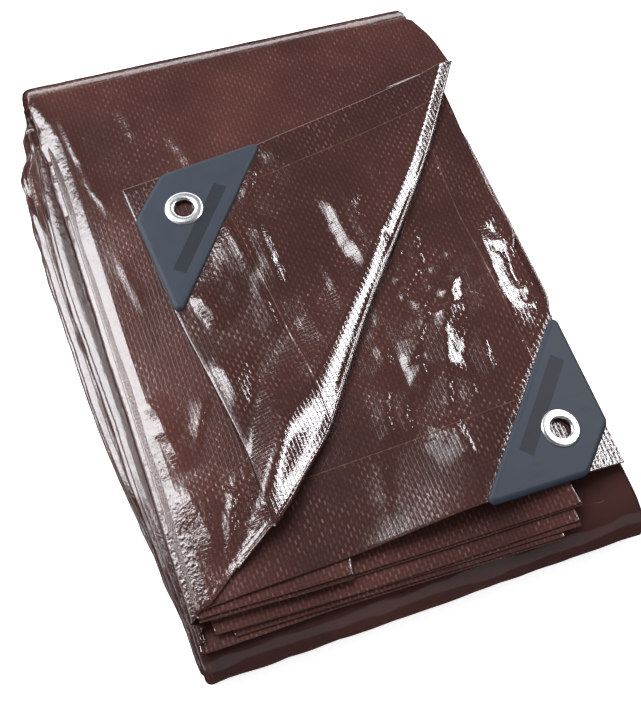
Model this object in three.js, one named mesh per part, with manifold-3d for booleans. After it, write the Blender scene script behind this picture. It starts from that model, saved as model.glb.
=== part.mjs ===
// A poly tarp folded for storage. The sheet is folded across its width into a strip of ten layers, and the
// strip is folded along its length into three: a bottom run, an inner run that lies on it, and a loose flap
// on top. One corner of the top layer is folded back over a slanted roll. Two corners of the sheet carry
// plastic corner pieces with metal eyelets. X is across the packet, Y runs to the back, Z is up, and the
// packet lies on Z = 0.
import * as THREE from 'three';
import Module from 'manifold-3d';
import { mergeVertices } from 'three/addons/utils/BufferGeometryUtils.js';

const wasm = await Module();
wasm.setup();

// Driving dimensions in millimetres

// The sheet and the strip
const SHEET = 1.0;
const TOP_LEVEL = 9;
const TIGHT_PITCH = 1.5;
const FOLD_STEPS = 3;
const OUTER_FOLD_DEPTH = 5.5;
const OUTER_FOLD_STEPS = 6;

// Heights of the lowest layer of each run, at its mid-thickness
const BOTTOM_HEIGHT = SHEET / 2 + TOP_LEVEL * TIGHT_PITCH;
const RUN_STEP = 2.0;
const INNER_HEIGHT = BOTTOM_HEIGHT + RUN_STEP;
const FLAP_HEIGHT = 32.1;

// Length of the packet between the centres of its two end bends, at the left side, and the skew to the right
const BACK_BEND_Y = 175;
const BACK_BEND_SKEW = -0.052;
const FRONT_BEND_Y = -177;
const FRONT_BEND_SKEW = 0.032;
const BEND_STEPS = 6;
const INNER_END_MARGIN = 8;

// The slanted fold of the top layer, from its lower end at the front to its upper end at the right side
const SLANT_FRONT = { x: -67, y: -147, radius: 3.5 };
const SLANT_BACK = { x: 137.5, y: 129.5, radius: 1.5 };
const SLANT_STEPS = 5;
const HEM_LIFT = 1.5;
const HEM_LIFT_REACH = 0.25;
const TONGUE = 3;
const TONGUE_THINNING = 0.4;
const TOP_SHARES = [0.18, 0.42, 0.7];

// The corner that the slanted fold lays back on the top layer
const LAID_CORNER = { x: -85.5, y: 95, lift: 3.9 };
const LAID_LEG_TURN = 0.077;
const LAID_STRAIGHT = { long: 92, short: 84.5 };
const LAID_SETTLE_SHARE = 0.85;
const SHORT_END_SLANT = 0.384;

// The corner of the second layer, which droops at the front right
const FRONT_CORNER = { x: 129.5, y: -157, z: 35.3 };
const FRONT_LEG_TURN = 0.066;
const FRONT_SLOPE = { x: -0.2, y: 0.11 };
const CREASE_MARGIN = 6;
const DROOP_REACH = 55;

// The corner pieces: a long leg along the tarp's length, a short leg across, plates on both faces of the cloth
const LEG_LONG = 90;
const LEG_SHORT = 82;
const CUT_CORNER = 27;
const PLATE = 0.8;
const CLOTH_GAP = 0.4;
const RIM = 0.9;
const RIM_CHAMFER = { start: 4, end: 7.5, step: 1.2 };
const POCKET_PAST = 9;

// The eyelets
const EYELET_IN = 28;
const EYELET_HOLE_RADIUS = 5.9;
const EYELET_BARREL = 1.0;
const EYELET_FLANGE_RADIUS = 11.4;
const EYELET_FLANGE = 1.0;
const FLANGE_EDGE = { slope: 0.5, drop: 0.35, flat: 2 };
const BARREL_MOUTH = { width: 1.1, depth: 0.8 };
const CLOTH_CUT = 2.4;
const EYELET_SIDES = 28;
const PART_GAP = 0.3;

// Offset of each layer of the flap above its lowest layer, at the loose front end. The three layers at the
// top are the tab, the second layer and the top layer.
const LOOSE_OFFSETS = [0, 1.5, 3.0, 4.5, 6.0, 7.5, 9.6, 11.4, 13.4, 15.6];
const TOP_HEIGHT = FLAP_HEIGHT + LOOSE_OFFSETS[TOP_LEVEL];
const LOOSE_REACH = 0.25;

// Where the front edge of each layer of the flap lies
const FLAP_FRONT_Y = [-187, -186, -184, -183, -175, -174, -176, -175, -166, -170];

// Rows of the flap, from its front edge to the back bend: the share of its length, the place along the
// slanted fold or, behind it, the top layer's right edge, and the right-hand folds of the layer pairs below
const FLAP_ROWS = [
  { share: 0.0, slant: 0.0, low: 82, middle: 92, high: 95, tab: -33 },
  { share: 0.07, slant: 0.08, low: 84, middle: 91, high: 92, tab: -30 },
  { share: 0.15, slant: 0.2, low: 90, middle: 92, high: 92, tab: -20 },
  { share: 0.29, slant: 0.384, low: 100, middle: 101, high: 99, tab: 5 },
  { share: 0.38, slant: 0.5, low: 106, middle: 108, high: 106, tab: 40 },
  { share: 0.48, slant: 0.65, low: 110, middle: 113, high: 111, tab: 78 },
  { share: 0.6, slant: 0.8, low: 113, middle: 116, high: 113, tab: 104 },
  { share: 0.7, slant: 0.92, low: 115, middle: 118, high: 114, tab: 113 },
  { share: 0.76, slant: 0.97, low: 116, middle: 118, high: 115, tab: 116 },
  { share: 0.88, topX: 129.5, topY: 145, low: 117, middle: 119, high: 116, tab: 117 },
  { share: 1.0, topX: 122.5, topY: 168.6, low: 117, middle: 119, high: 117, tab: 117 },
];

// Left side of the flap and of the runs below it, by place along the packet
const FLAP_LEFT = -124;
const BACK_LEFT = [-124, -124.6, -125.4, -126.4, -127.6, -129, -131];
const RUN_ROWS = [
  { y: 150, bottomLeft: -140, innerLeft: -131, right: 121 },
  { y: 118, bottomLeft: -142, innerLeft: -133, right: 123 },
  { y: 40, bottomLeft: -141, innerLeft: -135, right: 125 },
  { y: -50, bottomLeft: -138, innerLeft: -133, right: 124 },
  { y: -125, bottomLeft: -131, innerLeft: -129, right: 127 },
];
const BACK_RIGHT = 119;
const FRONT_LEFT = -126;
const FRONT_RIGHT = 128;
const INNER_END_LEFT = -130;

// How far the layers of the runs below step in from those sides, and each pair's left fold inside the outer one
const STEP_IN = { low: 1, middle: 3, high: 0, tab: 4, second: -2, top: 0 };
const LEFT_STEP_IN = [3.4, 1.7, 1.9, 3.6];

// Places of the layer pairs' columns and of the second layer's columns, as shares of a layer's width
const PAIR_SHARES = [1 / 3, 2 / 3];
const SECOND_SHARES = [0.25, 0.5, 0.72, 0.86, 0.95, 1];
const SECOND_FLAP_SHARES = [0.3, 0.6, 0.82, 1];

// Right edge of the second layer behind its corner piece
const SECOND_RIGHT = [
  { y: -66, x: 123.5 },
  { y: 9, x: 120 },
  { y: 106, x: 123 },
  { y: 175, x: 121 },
];

const mix = (a, b, t) => a + (b - a) * t;
const clamp = (v) => Math.min(1, Math.max(0, v));
const smooth = (v) => clamp(v) ** 2 * (3 - 2 * clamp(v));

const backBendY = (x) => BACK_BEND_Y + BACK_BEND_SKEW * x;
const frontBendY = (x) => FRONT_BEND_Y + FRONT_BEND_SKEW * x;

// Value of a table at y, between its rows
function between(rows, y, column) {
  if (y <= rows[0].y) return rows[0][column];
  for (let i = 1; i < rows.length; i++) {
    const [a, b] = [rows[i - 1], rows[i]];
    if (y <= b.y) return mix(a[column], b[column], (y - a.y) / (b.y - a.y));
  }
  return rows.at(-1)[column];
}

// Stations along the strip, from the front edge of the flap to the end of the inner run
function makeStations() {
  const stations = FLAP_ROWS.map((row) => ({
    zone: 'flap', ...row, left: FLAP_LEFT, looseness: 1 - row.share,
  }));
  for (let i = 1; i <= BEND_STEPS; i++) {
    const right = mix(BACK_RIGHT, RUN_ROWS[0].right, i / BEND_STEPS);
    stations.push({ zone: 'back', turn: i / BEND_STEPS, left: BACK_LEFT[i], right, looseness: 0 });
  }
  for (const row of RUN_ROWS) {
    stations.push({ zone: 'bottom', y: row.y, left: row.bottomLeft, right: row.right, looseness: 0 });
  }
  for (let i = 0; i <= BEND_STEPS; i++) {
    stations.push({ zone: 'front', turn: i / BEND_STEPS, left: FRONT_LEFT, right: FRONT_RIGHT, looseness: 0 });
  }
  for (const row of [...RUN_ROWS].reverse()) {
    stations.push({ zone: 'inner', y: row.y, left: row.innerLeft, right: row.right, looseness: 0 });
  }
  stations.push({ zone: 'inner', y: null, left: INNER_END_LEFT, right: BACK_RIGHT, looseness: 0 });
  return stations;
}

// Height of a layer above the lowest one of its run: evenly packed in the wrap, looser towards the flap's front
function levelOffset(level, looseness) {
  const low = Math.min(TOP_LEVEL - 1, Math.floor(level));
  const loose = mix(LOOSE_OFFSETS[low], LOOSE_OFFSETS[low + 1], level - low);
  return mix(level * TIGHT_PITCH, loose, clamp(looseness / LOOSE_REACH));
}

// Front edge of the flap at a level, between the layers as well
function flapFrontY(level) {
  const low = Math.min(TOP_LEVEL - 1, Math.floor(level));
  return mix(FLAP_FRONT_Y[low], FLAP_FRONT_Y[low + 1], level - low);
}

// Point of the strip at a station, for a place across it and a level
function stripPoint(station, x, level) {
  const offset = levelOffset(level, station.looseness);
  const backRadius = (FLAP_HEIGHT - BOTTOM_HEIGHT) / 2;
  const backCentre = (FLAP_HEIGHT + BOTTOM_HEIGHT) / 2;
  const frontRadius = (INNER_HEIGHT - BOTTOM_HEIGHT) / 2;
  const frontCentre = (INNER_HEIGHT + BOTTOM_HEIGHT) / 2;
  if (station.zone === 'flap') {
    const y = mix(flapFrontY(level), backBendY(x), station.share);
    return new THREE.Vector3(x, y, FLAP_HEIGHT + offset);
  }
  if (station.zone === 'back') {
    const angle = Math.PI * station.turn;
    const radius = backRadius + offset;
    const y = backBendY(x) + radius * Math.sin(angle);
    return new THREE.Vector3(x, y, backCentre + radius * Math.cos(angle));
  }
  if (station.zone === 'bottom') {
    return new THREE.Vector3(x, station.y, BOTTOM_HEIGHT - offset);
  }
  if (station.zone === 'front') {
    const angle = Math.PI * station.turn;
    const radius = frontRadius + offset;
    const y = frontBendY(x) - radius * Math.sin(angle);
    return new THREE.Vector3(x, y, frontCentre - radius * Math.cos(angle));
  }
  return new THREE.Vector3(x, station.y ?? backBendY(x) - INNER_END_MARGIN, INNER_HEIGHT + offset);
}

// A fold between two levels at one side of the strip, as a half circle in steps
function foldPoints(station, x, side, fromLevel, toLevel) {
  const points = [];
  const middle = (fromLevel + toLevel) / 2;
  const half = (toLevel - fromLevel) / 2;
  const { looseness } = station;
  const radius = (levelOffset(toLevel, looseness) - levelOffset(fromLevel, looseness)) / 2;
  for (let i = 0; i <= FOLD_STEPS; i++) {
    const angle = (Math.PI * i) / FOLD_STEPS;
    const across = x + side * radius * (Math.sin(angle) - 1);
    points.push(stripPoint(station, across, middle - half * Math.cos(angle)));
  }
  return points;
}

// The fold that wraps the whole strip at its left side, from the top layer down to the lowest
function outerFoldPoints(station) {
  const points = [];
  for (let i = 0; i <= OUTER_FOLD_STEPS; i++) {
    const angle = (Math.PI * i) / OUTER_FOLD_STEPS;
    const across = station.left + OUTER_FOLD_DEPTH * (1 - Math.sin(angle));
    points.push(stripPoint(station, across, (TOP_LEVEL / 2) * (1 + Math.cos(angle))));
  }
  return points;
}

// The slanted fold

const SLANT_LENGTH = Math.hypot(SLANT_BACK.x - SLANT_FRONT.x, SLANT_BACK.y - SLANT_FRONT.y);
const SLANT_OUT = new THREE.Vector3(
  (SLANT_BACK.y - SLANT_FRONT.y) / SLANT_LENGTH,
  (SLANT_FRONT.x - SLANT_BACK.x) / SLANT_LENGTH,
  0,
);

// Directions of the laid corner's legs: the long one towards the front, the short one to the right
const laidLong = new THREE.Vector3(LAID_LEG_TURN, -1, 0).normalize();
const laidShort = new THREE.Vector3(1, LAID_LEG_TURN, 0).normalize();
const laidCorner = new THREE.Vector3(LAID_CORNER.x, LAID_CORNER.y, 0);
const laidLongEnd = laidCorner.clone().addScaledVector(laidLong, LAID_STRAIGHT.long);
const laidShortEnd = laidCorner.clone().addScaledVector(laidShort, LAID_STRAIGHT.short);

const slantPoint = (slant) => new THREE.Vector3(
  mix(SLANT_FRONT.x, SLANT_BACK.x, slant), mix(SLANT_FRONT.y, SLANT_BACK.y, slant), 0);

// The laid corner's front edge, from the slanted fold (0) to the corner (1), straight along the corner piece
const frontEdgeLength = laidLongEnd.distanceTo(slantPoint(0)) + laidLongEnd.distanceTo(laidCorner);
const longEndShare = laidLongEnd.distanceTo(slantPoint(0)) / frontEdgeLength;

function laidFrontEdge(share) {
  if (share <= longEndShare) return slantPoint(0).lerp(laidLongEnd, share / longEndShare);
  return laidLongEnd.clone().lerp(laidCorner, (share - longEndShare) / (1 - longEndShare));
}

// The laid corner's side edge, from the corner (0) to the slanted fold's far end (1)
function laidSideEdge(slant) {
  if (slant <= SHORT_END_SLANT) return laidCorner.clone().lerp(laidShortEnd, slant / SHORT_END_SLANT);
  return laidShortEnd.clone().lerp(slantPoint(1), (slant - SHORT_END_SLANT) / (1 - SHORT_END_SLANT));
}

// Shares of the laid corner's columns, from the slanted fold to its free edge
const LAID_SHARES = [0.36 * longEndShare, 0.7 * longEndShare, longEndShare, (1 + longEndShare) / 2, 1];

// Where the slanted fold leaves the flat of the top layer, with the lift of the hem at its front end
function slantRoot(row) {
  const radius = mix(SLANT_FRONT.radius, SLANT_BACK.radius, row.slant);
  const point = slantPoint(row.slant).addScaledVector(SLANT_OUT, -radius);
  point.z = TOP_HEIGHT + HEM_LIFT * (1 - smooth(row.slant / HEM_LIFT_REACH));
  return { point, radius };
}

// Top layer of the flap at one row, from its free edge or the slanted fold to the left fold
function topLayerPoints(station, leftEnd) {
  const height = leftEnd.z;
  const edge = station.slant === undefined
    ? new THREE.Vector3(station.topX, station.topY, height)
    : slantRoot(station).point;
  const flat = TOP_SHARES.map((share, i) => {
    const point = edge.clone().lerp(leftEnd, share);
    point.z = mix(edge.z, height, smooth((i + 1) / 2));
    return point;
  });
  return [edge, ...flat];
}

// The laid corner at one row: a tongue inside the top layer, the slanted fold, and the cloth laid back
function laidRow(row) {
  const { point: root, radius } = slantRoot(row);
  const points = [];
  for (const share of [1, 1 / 8]) {
    const point = root.clone().addScaledVector(SLANT_OUT, -TONGUE * share);
    points.push({ point, thickness: SHEET - TONGUE_THINNING * share });
  }
  for (let i = 0; i <= SLANT_STEPS; i++) {
    const angle = (Math.PI * i) / SLANT_STEPS;
    const point = root.clone().addScaledVector(SLANT_OUT, radius * Math.sin(angle));
    point.z += radius * (1 - Math.cos(angle));
    points.push({ point, thickness: SHEET });
  }
  const side = laidSideEdge(row.slant);
  for (const share of LAID_SHARES) {
    const bend = laidFrontEdge(share).sub(slantPoint(0).lerp(laidCorner, share));
    const point = slantPoint(row.slant).lerp(side, share).addScaledVector(bend, 1 - row.slant);
    point.addScaledVector(SLANT_OUT, -radius * (1 - clamp(share / longEndShare)));
    const settle = smooth(share / (longEndShare * LAID_SETTLE_SHARE));
    point.z = mix(root.z + 2 * radius, TOP_HEIGHT + LAID_CORNER.lift, settle);
    points.push({ point, thickness: SHEET });
  }
  return points;
}

// The corner piece's plane at the drooping front corner
const frontPlane = (x, y) =>
  FRONT_CORNER.z + FRONT_SLOPE.x * (x - FRONT_CORNER.x) + FRONT_SLOPE.y * (y - FRONT_CORNER.y);
const frontLong = new THREE.Vector3(-FRONT_LEG_TURN, 1, 0).normalize();
const frontShort = new THREE.Vector3(-1, -FRONT_LEG_TURN, 0).normalize();
const frontCorner = new THREE.Vector3(FRONT_CORNER.x, FRONT_CORNER.y, 0);
const creaseAlong = frontLong.clone().multiplyScalar(LEG_LONG).addScaledVector(frontShort, -LEG_SHORT);
const creaseOut = new THREE.Vector3(creaseAlong.y, -creaseAlong.x, 0).normalize();
const creasePoint = frontCorner.clone().addScaledVector(frontShort, LEG_SHORT + CREASE_MARGIN);

// Height of the second layer: in the corner piece's plane beyond the crease, settling on the pile before it
function secondLayerHeight(x, y, height) {
  const before = -((x - creasePoint.x) * creaseOut.x + (y - creasePoint.y) * creaseOut.y);
  if (before <= 0) return frontPlane(x, y);
  const atCrease = frontPlane(x + before * creaseOut.x, y + before * creaseOut.y);
  return mix(atCrease, height, smooth(before / DROOP_REACH));
}

// Second layer of the flap at one row, from the left fold to its free right edge
function secondLayerPoints(station, start) {
  const level = TOP_LEVEL - 1;
  if (station.zone !== 'flap') {
    const right = station.right - STEP_IN.second;
    return SECOND_SHARES.map((share) => stripPoint(station, mix(start.x, right, share), level));
  }
  const frontY = (x) => (x < creasePoint.x
    ? mix(creasePoint.y, flapFrontY(level), (creasePoint.x - x) / (creasePoint.x - FLAP_LEFT))
    : creasePoint.y + (x - creasePoint.x) * FRONT_LEG_TURN);
  const rowY = (x) => mix(frontY(x), backBendY(x), station.share);
  const edgeGuess = rowY(FRONT_CORNER.x);
  const along = edgeGuess - FRONT_CORNER.y;
  const right = along < LEG_LONG
    ? FRONT_CORNER.x - FRONT_LEG_TURN * along
    : between(SECOND_RIGHT, edgeGuess, 'x');
  const creaseReach = LEG_SHORT + CREASE_MARGIN;
  const creaseWidth = Math.max(CREASE_MARGIN, creaseReach - (along * LEG_SHORT) / LEG_LONG);
  const crease = right - creaseWidth;
  const columns = SECOND_FLAP_SHARES.map((share) => mix(start.x, crease, share));
  columns.push(right - creaseWidth / 2, right);
  return columns.map((x) => {
    const y = rowY(x);
    return new THREE.Vector3(x, y, secondLayerHeight(x, y, stripPoint(station, x, level).z));
  });
}

// One row of the sheet: every layer in turn, from the top layer's free edge to the second layer's free edge
function sheetRow(station) {
  const outer = outerFoldPoints(station);
  const row = [];
  if (station.zone === 'flap') {
    row.push(...topLayerPoints(station, outer[0]));
  } else {
    const right = station.right - STEP_IN.top;
    const columns = [0, ...TOP_SHARES].map((share) => mix(right, outer[0].x, share));
    row.push(...columns.map((x) => stripPoint(station, x, TOP_LEVEL)));
  }
  row.push(...outer);
  const folds = ['low', 'middle', 'high', 'tab'].flatMap((pair, i) => [
    { side: 1, x: station[pair] ?? station.right - STEP_IN[pair] },
    { side: -1, x: station.left + LEFT_STEP_IN[i] },
  ]);
  folds.forEach((fold, level) => {
    const points = foldPoints(station, fold.x, fold.side, level, level + 1);
    const start = row.at(-1).x;
    row.push(...PAIR_SHARES.map((share) => stripPoint(station, mix(start, points[0].x, share), level)));
    row.push(...points);
  });
  row.push(...secondLayerPoints(station, row.at(-1)));
  return row;
}

// A closed solid from a grid of mid-thickness points: both faces and the rim around them
function thickSheet(grid) {
  const rows = grid.length;
  const columns = grid[0].length;
  const at = (i, j) => grid[clampIndex(i, rows)][clampIndex(j, columns)].point;
  const positions = [];
  const index = (i, j, face) => face * rows * columns + i * columns + j;
  for (const face of [0, 1]) {
    for (let i = 0; i < rows; i++) {
      for (let j = 0; j < columns; j++) {
        const along = at(i + 1, j).clone().sub(at(i - 1, j));
        const across = at(i, j + 1).clone().sub(at(i, j - 1));
        const normal = across.cross(along).normalize();
        const point = at(i, j).clone().addScaledVector(normal, (face - 0.5) * grid[i][j].thickness);
        positions.push(point.x, point.y, point.z);
      }
    }
  }
  const triangles = [];
  const quad = (a, b, c, d) => triangles.push(a, b, c, a, c, d);
  for (let i = 0; i < rows - 1; i++) {
    for (let j = 0; j < columns - 1; j++) {
      quad(index(i, j, 1), index(i, j + 1, 1), index(i + 1, j + 1, 1), index(i + 1, j, 1));
      quad(index(i, j, 0), index(i + 1, j, 0), index(i + 1, j + 1, 0), index(i, j + 1, 0));
    }
  }
  for (let j = 0; j < columns - 1; j++) {
    quad(index(0, j, 0), index(0, j + 1, 0), index(0, j + 1, 1), index(0, j, 1));
    quad(index(rows - 1, j + 1, 0), index(rows - 1, j, 0), index(rows - 1, j, 1), index(rows - 1, j + 1, 1));
  }
  const last = columns - 1;
  for (let i = 0; i < rows - 1; i++) {
    quad(index(i + 1, 0, 0), index(i, 0, 0), index(i, 0, 1), index(i + 1, 0, 1));
    quad(index(i, last, 0), index(i + 1, last, 0), index(i + 1, last, 1), index(i, last, 1));
  }
  const geometry = new THREE.BufferGeometry();
  geometry.setAttribute('position', new THREE.Float32BufferAttribute(positions, 3));
  geometry.setIndex(triangles);
  return geometry;
}

function clampIndex(i, count) {
  return Math.min(count - 1, Math.max(0, i));
}

// Joining and cutting of closed meshes
function toSolid(geometry) {
  const bare = geometry.clone();
  bare.deleteAttribute('normal');
  bare.deleteAttribute('uv');
  const merged = mergeVertices(bare, 1e-4);
  return new wasm.Manifold(new wasm.Mesh({
    numProp: 3,
    vertProperties: Float32Array.from(merged.attributes.position.array),
    triVerts: Uint32Array.from(merged.index.array),
  }));
}

function toGeometry(solid) {
  const mesh = solid.getMesh();
  const geometry = new THREE.BufferGeometry();
  geometry.setAttribute('position', new THREE.Float32BufferAttribute(mesh.vertProperties, 3));
  geometry.setIndex(Array.from(mesh.triVerts));
  geometry.computeVertexNormals();
  return geometry;
}

// Places of the two corners: X of the local frame along the long leg, Y along the short leg, Z out of the cloth
function cornerFrame(corner, long, short) {
  const out = long.clone().cross(short).normalize();
  const square = out.clone().cross(long).normalize();
  return new THREE.Matrix4().makeBasis(long, square, out).setPosition(corner);
}

const laidHeight = TOP_HEIGHT + LAID_CORNER.lift;
const flapFrame = cornerFrame(new THREE.Vector3(LAID_CORNER.x, LAID_CORNER.y, laidHeight), laidLong, laidShort);
const onFrontPlane = (v) => new THREE.Vector3(v.x, v.y, frontPlane(v.x, v.y));
const frontStart = onFrontPlane(frontCorner);
const frontFrame = cornerFrame(
  frontStart,
  onFrontPlane(frontCorner.clone().add(frontLong)).sub(frontStart).normalize(),
  onFrontPlane(frontCorner.clone().add(frontShort)).sub(frontStart).normalize(),
);

// A disc through the cloth and plates at the eyelet's place
function eyeletDisc(radius, height) {
  return new THREE.CylinderGeometry(radius, radius, height, EYELET_SIDES)
    .rotateX(Math.PI / 2)
    .translate(EYELET_IN, EYELET_IN, 0);
}

function prism(outline, bottom, top) {
  return new THREE.ExtrudeGeometry(new THREE.Shape(outline), { depth: top - bottom, bevelEnabled: false })
    .translate(0, 0, bottom);
}

// A corner piece: two plates joined by rims along both legs, open at the slanted side and at the cut-off corner
function cornerPieceGeometry() {
  const half = SHEET / 2 + CLOTH_GAP + PLATE;
  const wall = -CLOTH_GAP - RIM;
  const { start, end, step } = RIM_CHAMFER;
  const point = (x, y) => new THREE.Vector2(x, y);
  const outline = [
    point(CUT_CORNER - start, wall), point(LEG_LONG, wall), point(LEG_LONG + 1, 0), point(1, LEG_SHORT + 1),
    point(wall, LEG_SHORT - 1), point(wall, CUT_CORNER - start), point(wall + step, CUT_CORNER - end),
    point(CUT_CORNER - end, wall + step),
  ];
  const pocket = [
    point(-CLOTH_GAP, -CLOTH_GAP), point(LEG_LONG + POCKET_PAST, -CLOTH_GAP),
    point(LEG_LONG + POCKET_PAST, LEG_SHORT + POCKET_PAST), point(-CLOTH_GAP, LEG_SHORT + POCKET_PAST),
  ];
  const body = toSolid(prism(outline, -half, half));
  const cloth = toSolid(prism(pocket, -SHEET / 2 - CLOTH_GAP, SHEET / 2 + CLOTH_GAP));
  const hole = toSolid(eyeletDisc(EYELET_HOLE_RADIUS + EYELET_BARREL + PART_GAP, 4 * half));
  return toGeometry(body.subtract(cloth).subtract(hole));
}

// An eyelet: a barrel with a rounded flange over each face of the corner piece
function eyeletGeometry() {
  const plate = SHEET / 2 + CLOTH_GAP + PLATE + PART_GAP;
  const face = plate + EYELET_FLANGE;
  const wall = EYELET_HOLE_RADIUS + EYELET_BARREL;
  const upper = [
    [wall, plate],
    [EYELET_FLANGE_RADIUS, plate],
    [EYELET_FLANGE_RADIUS - FLANGE_EDGE.slope, face - FLANGE_EDGE.drop],
    [EYELET_FLANGE_RADIUS - FLANGE_EDGE.flat, face],
    [EYELET_HOLE_RADIUS + BARREL_MOUTH.width, face],
    [EYELET_HOLE_RADIUS, face - BARREL_MOUTH.depth],
  ];
  const lower = upper.map(([r, z]) => [r, -z]).reverse();
  const profile = [...lower, ...upper, lower[0]].map(([r, z]) => new THREE.Vector2(r, z));
  const ring = new THREE.LatheGeometry(profile, EYELET_SIDES).rotateX(Math.PI / 2);
  return ring.translate(EYELET_IN, EYELET_IN, 0);
}

// Materials
const wovenPoly = () => new THREE.MeshStandardMaterial({ color: 0x3d221d, roughness: 0.3, metalness: 0 });
const cornerPlastic = () => new THREE.MeshStandardMaterial({ color: 0x39414c, roughness: 0.5, metalness: 0 });
const brightMetal = () => new THREE.MeshStandardMaterial({ color: 0xd9d9da, roughness: 0.25, metalness: 1 });

function named(geometry, name, material) {
  const mesh = new THREE.Mesh(geometry, material);
  mesh.name = name;
  return mesh;
}

function tarpGeometry() {
  const wound = makeStations().map((station) =>
    sheetRow(station).map((point) => ({ point, thickness: SHEET })));
  const laid = FLAP_ROWS.filter((row) => row.slant !== undefined).map((row) => laidRow(row));
  const sheet = toSolid(thickSheet(wound)).add(toSolid(thickSheet(laid)));
  const radius = EYELET_HOLE_RADIUS + EYELET_BARREL + PART_GAP;
  const holes = [flapFrame, frontFrame].map((frame) =>
    toSolid(eyeletDisc(radius, CLOTH_CUT).applyMatrix4(frame)));
  return toGeometry(holes.reduce((cloth, hole) => cloth.subtract(hole), sheet));
}

const packet = new THREE.Group();
packet.add(named(tarpGeometry(), 'tarp', wovenPoly()));
for (const [place, frame] of [['flap', flapFrame], ['front', frontFrame]]) {
  const eyelet = toGeometry(toSolid(eyeletGeometry().applyMatrix4(frame)));
  packet.add(named(cornerPieceGeometry().applyMatrix4(frame), `corner_piece_${place}`, cornerPlastic()));
  packet.add(named(eyelet, `eyelet_${place}`, brightMetal()));
}

// The origin is under the middle of the whole outline
const box = new THREE.Box3().setFromObject(packet);
const centre = box.getCenter(new THREE.Vector3());
packet.position.set(-centre.x, -centre.y, -box.min.z);

export default packet;
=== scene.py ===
# Looks of a poly tarp folded for storage: the film-coated woven sheet with its folds, hems and creases, the
# plastic corner pieces and the metal eyelets, on a pale floor in soft studio light.
import math

import bmesh
import bpy
import numpy as np
from mathutils import Matrix, Vector


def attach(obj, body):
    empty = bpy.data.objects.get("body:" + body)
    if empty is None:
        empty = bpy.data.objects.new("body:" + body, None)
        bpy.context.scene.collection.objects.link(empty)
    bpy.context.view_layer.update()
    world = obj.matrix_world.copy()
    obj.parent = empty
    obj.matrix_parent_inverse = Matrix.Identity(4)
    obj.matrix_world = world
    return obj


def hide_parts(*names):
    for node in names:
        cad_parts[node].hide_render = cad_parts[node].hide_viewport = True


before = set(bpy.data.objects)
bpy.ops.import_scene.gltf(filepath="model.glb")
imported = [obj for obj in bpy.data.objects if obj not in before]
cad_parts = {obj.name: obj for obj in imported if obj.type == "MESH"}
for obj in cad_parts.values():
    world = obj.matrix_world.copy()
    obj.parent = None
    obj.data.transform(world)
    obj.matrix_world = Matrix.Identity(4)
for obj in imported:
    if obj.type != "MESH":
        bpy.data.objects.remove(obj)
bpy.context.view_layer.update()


def rows_of(columns, rows):
    """The rows of a table, with each number under the name of its column."""
    return [dict(zip(columns.split(), row)) for row in rows]


# The drawing is in millimetres: X across the packet, Y to the back, Z up. ORIGIN moves it to the frame of the
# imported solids.
MM = 0.001
ORIGIN = np.array([5.4067, -4.2402, 0.0])

# The strip of ten layers and its three runs, as the solids have them
TOP = 9
SECOND = 8
TIGHT_PITCH = 1.5
BOTTOM_HEIGHT = 14.0
INNER_HEIGHT = 16.0
FLAP_HEIGHT = 32.1
LOOSE_OFFSETS = np.array([0, 1.5, 3.0, 4.5, 6.0, 7.5, 9.6, 11.4, 13.4, 15.6])
LOOSE_REACH = 0.25
TOP_HEIGHT = FLAP_HEIGHT + LOOSE_OFFSETS[TOP]
BACK_BEND = {"y": 175.0, "skew": -0.052}
FRONT_BEND = {"y": -177.0, "skew": 0.032}
FLAP_LEFT = -124.0
FLAP_FRONT_Y = np.array([-188.0, -186.5, -184, -183, -175, -174, -176.5, -175, -171, -170])

# Rows of the flap from its front edge to the back bend: the share of its length, the place on the slanted
# fold, and the right-hand folds of the pairs of layers below
FLAP_ROWS = rows_of("share slant low middle high tab", [
    (0.0, 0.0, 82, 92.6, 96.5, -35),
    (0.07, 0.08, 84, 92, 95, -30),
    (0.15, 0.2, 90, 93, 96, -20),
    (0.29, 0.384, 108, 112, 117, 20),
    (0.38, 0.5, 116, 121, 129, 80),
    (0.48, 0.63, 116, 122, 128, 122),
    (0.6, 0.79, 115, 121, 126.5, 124),
    (0.7, 0.92, 115, 119, 125, 124),
    (0.76, 1.0, 116, 118, 122, 122),
    (0.88, 1.0, 117, 119, 119, 119),
    (1.0, 1.0, 117, 119, 118, 118),
])

# Outer line of the slanted fold, from its lower end at the front to its upper end at the right side
SLANT_LINE = rows_of("slant x y radius shoulder reach", [
    (0.0, -66.0, -142.0, 2.4, 3.6, 9),
    (0.04, -55.9, -133.1, 2.2, 5.4, 12),
    (0.11, -39.3, -114.9, 1.8, 6.8, 15),
    (0.19, -21.5, -95.9, 1.6, 6.6, 14.5),
    (0.3, -0.6, -65.7, 1.5, 5.0, 11),
    (0.44, 26.4, -26.8, 1.4, 3.7, 8),
    (0.61, 60.0, 16.9, 1.3, 3.15, 6.8),
    (0.79, 95.9, 66.0, 1.1, 3.0, 6.5),
    (1.0, 133.8, 126.3, 1.0, 3.0, 6.5),
])
SLANT_ENDS_AT = 0.76
TOP_EDGE = rows_of("share x y", [
    (0.76, 133.3, 126.0),
    (0.88, 129.5, 150.0),
    (1.0, 123.0, 168.6),
])

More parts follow.
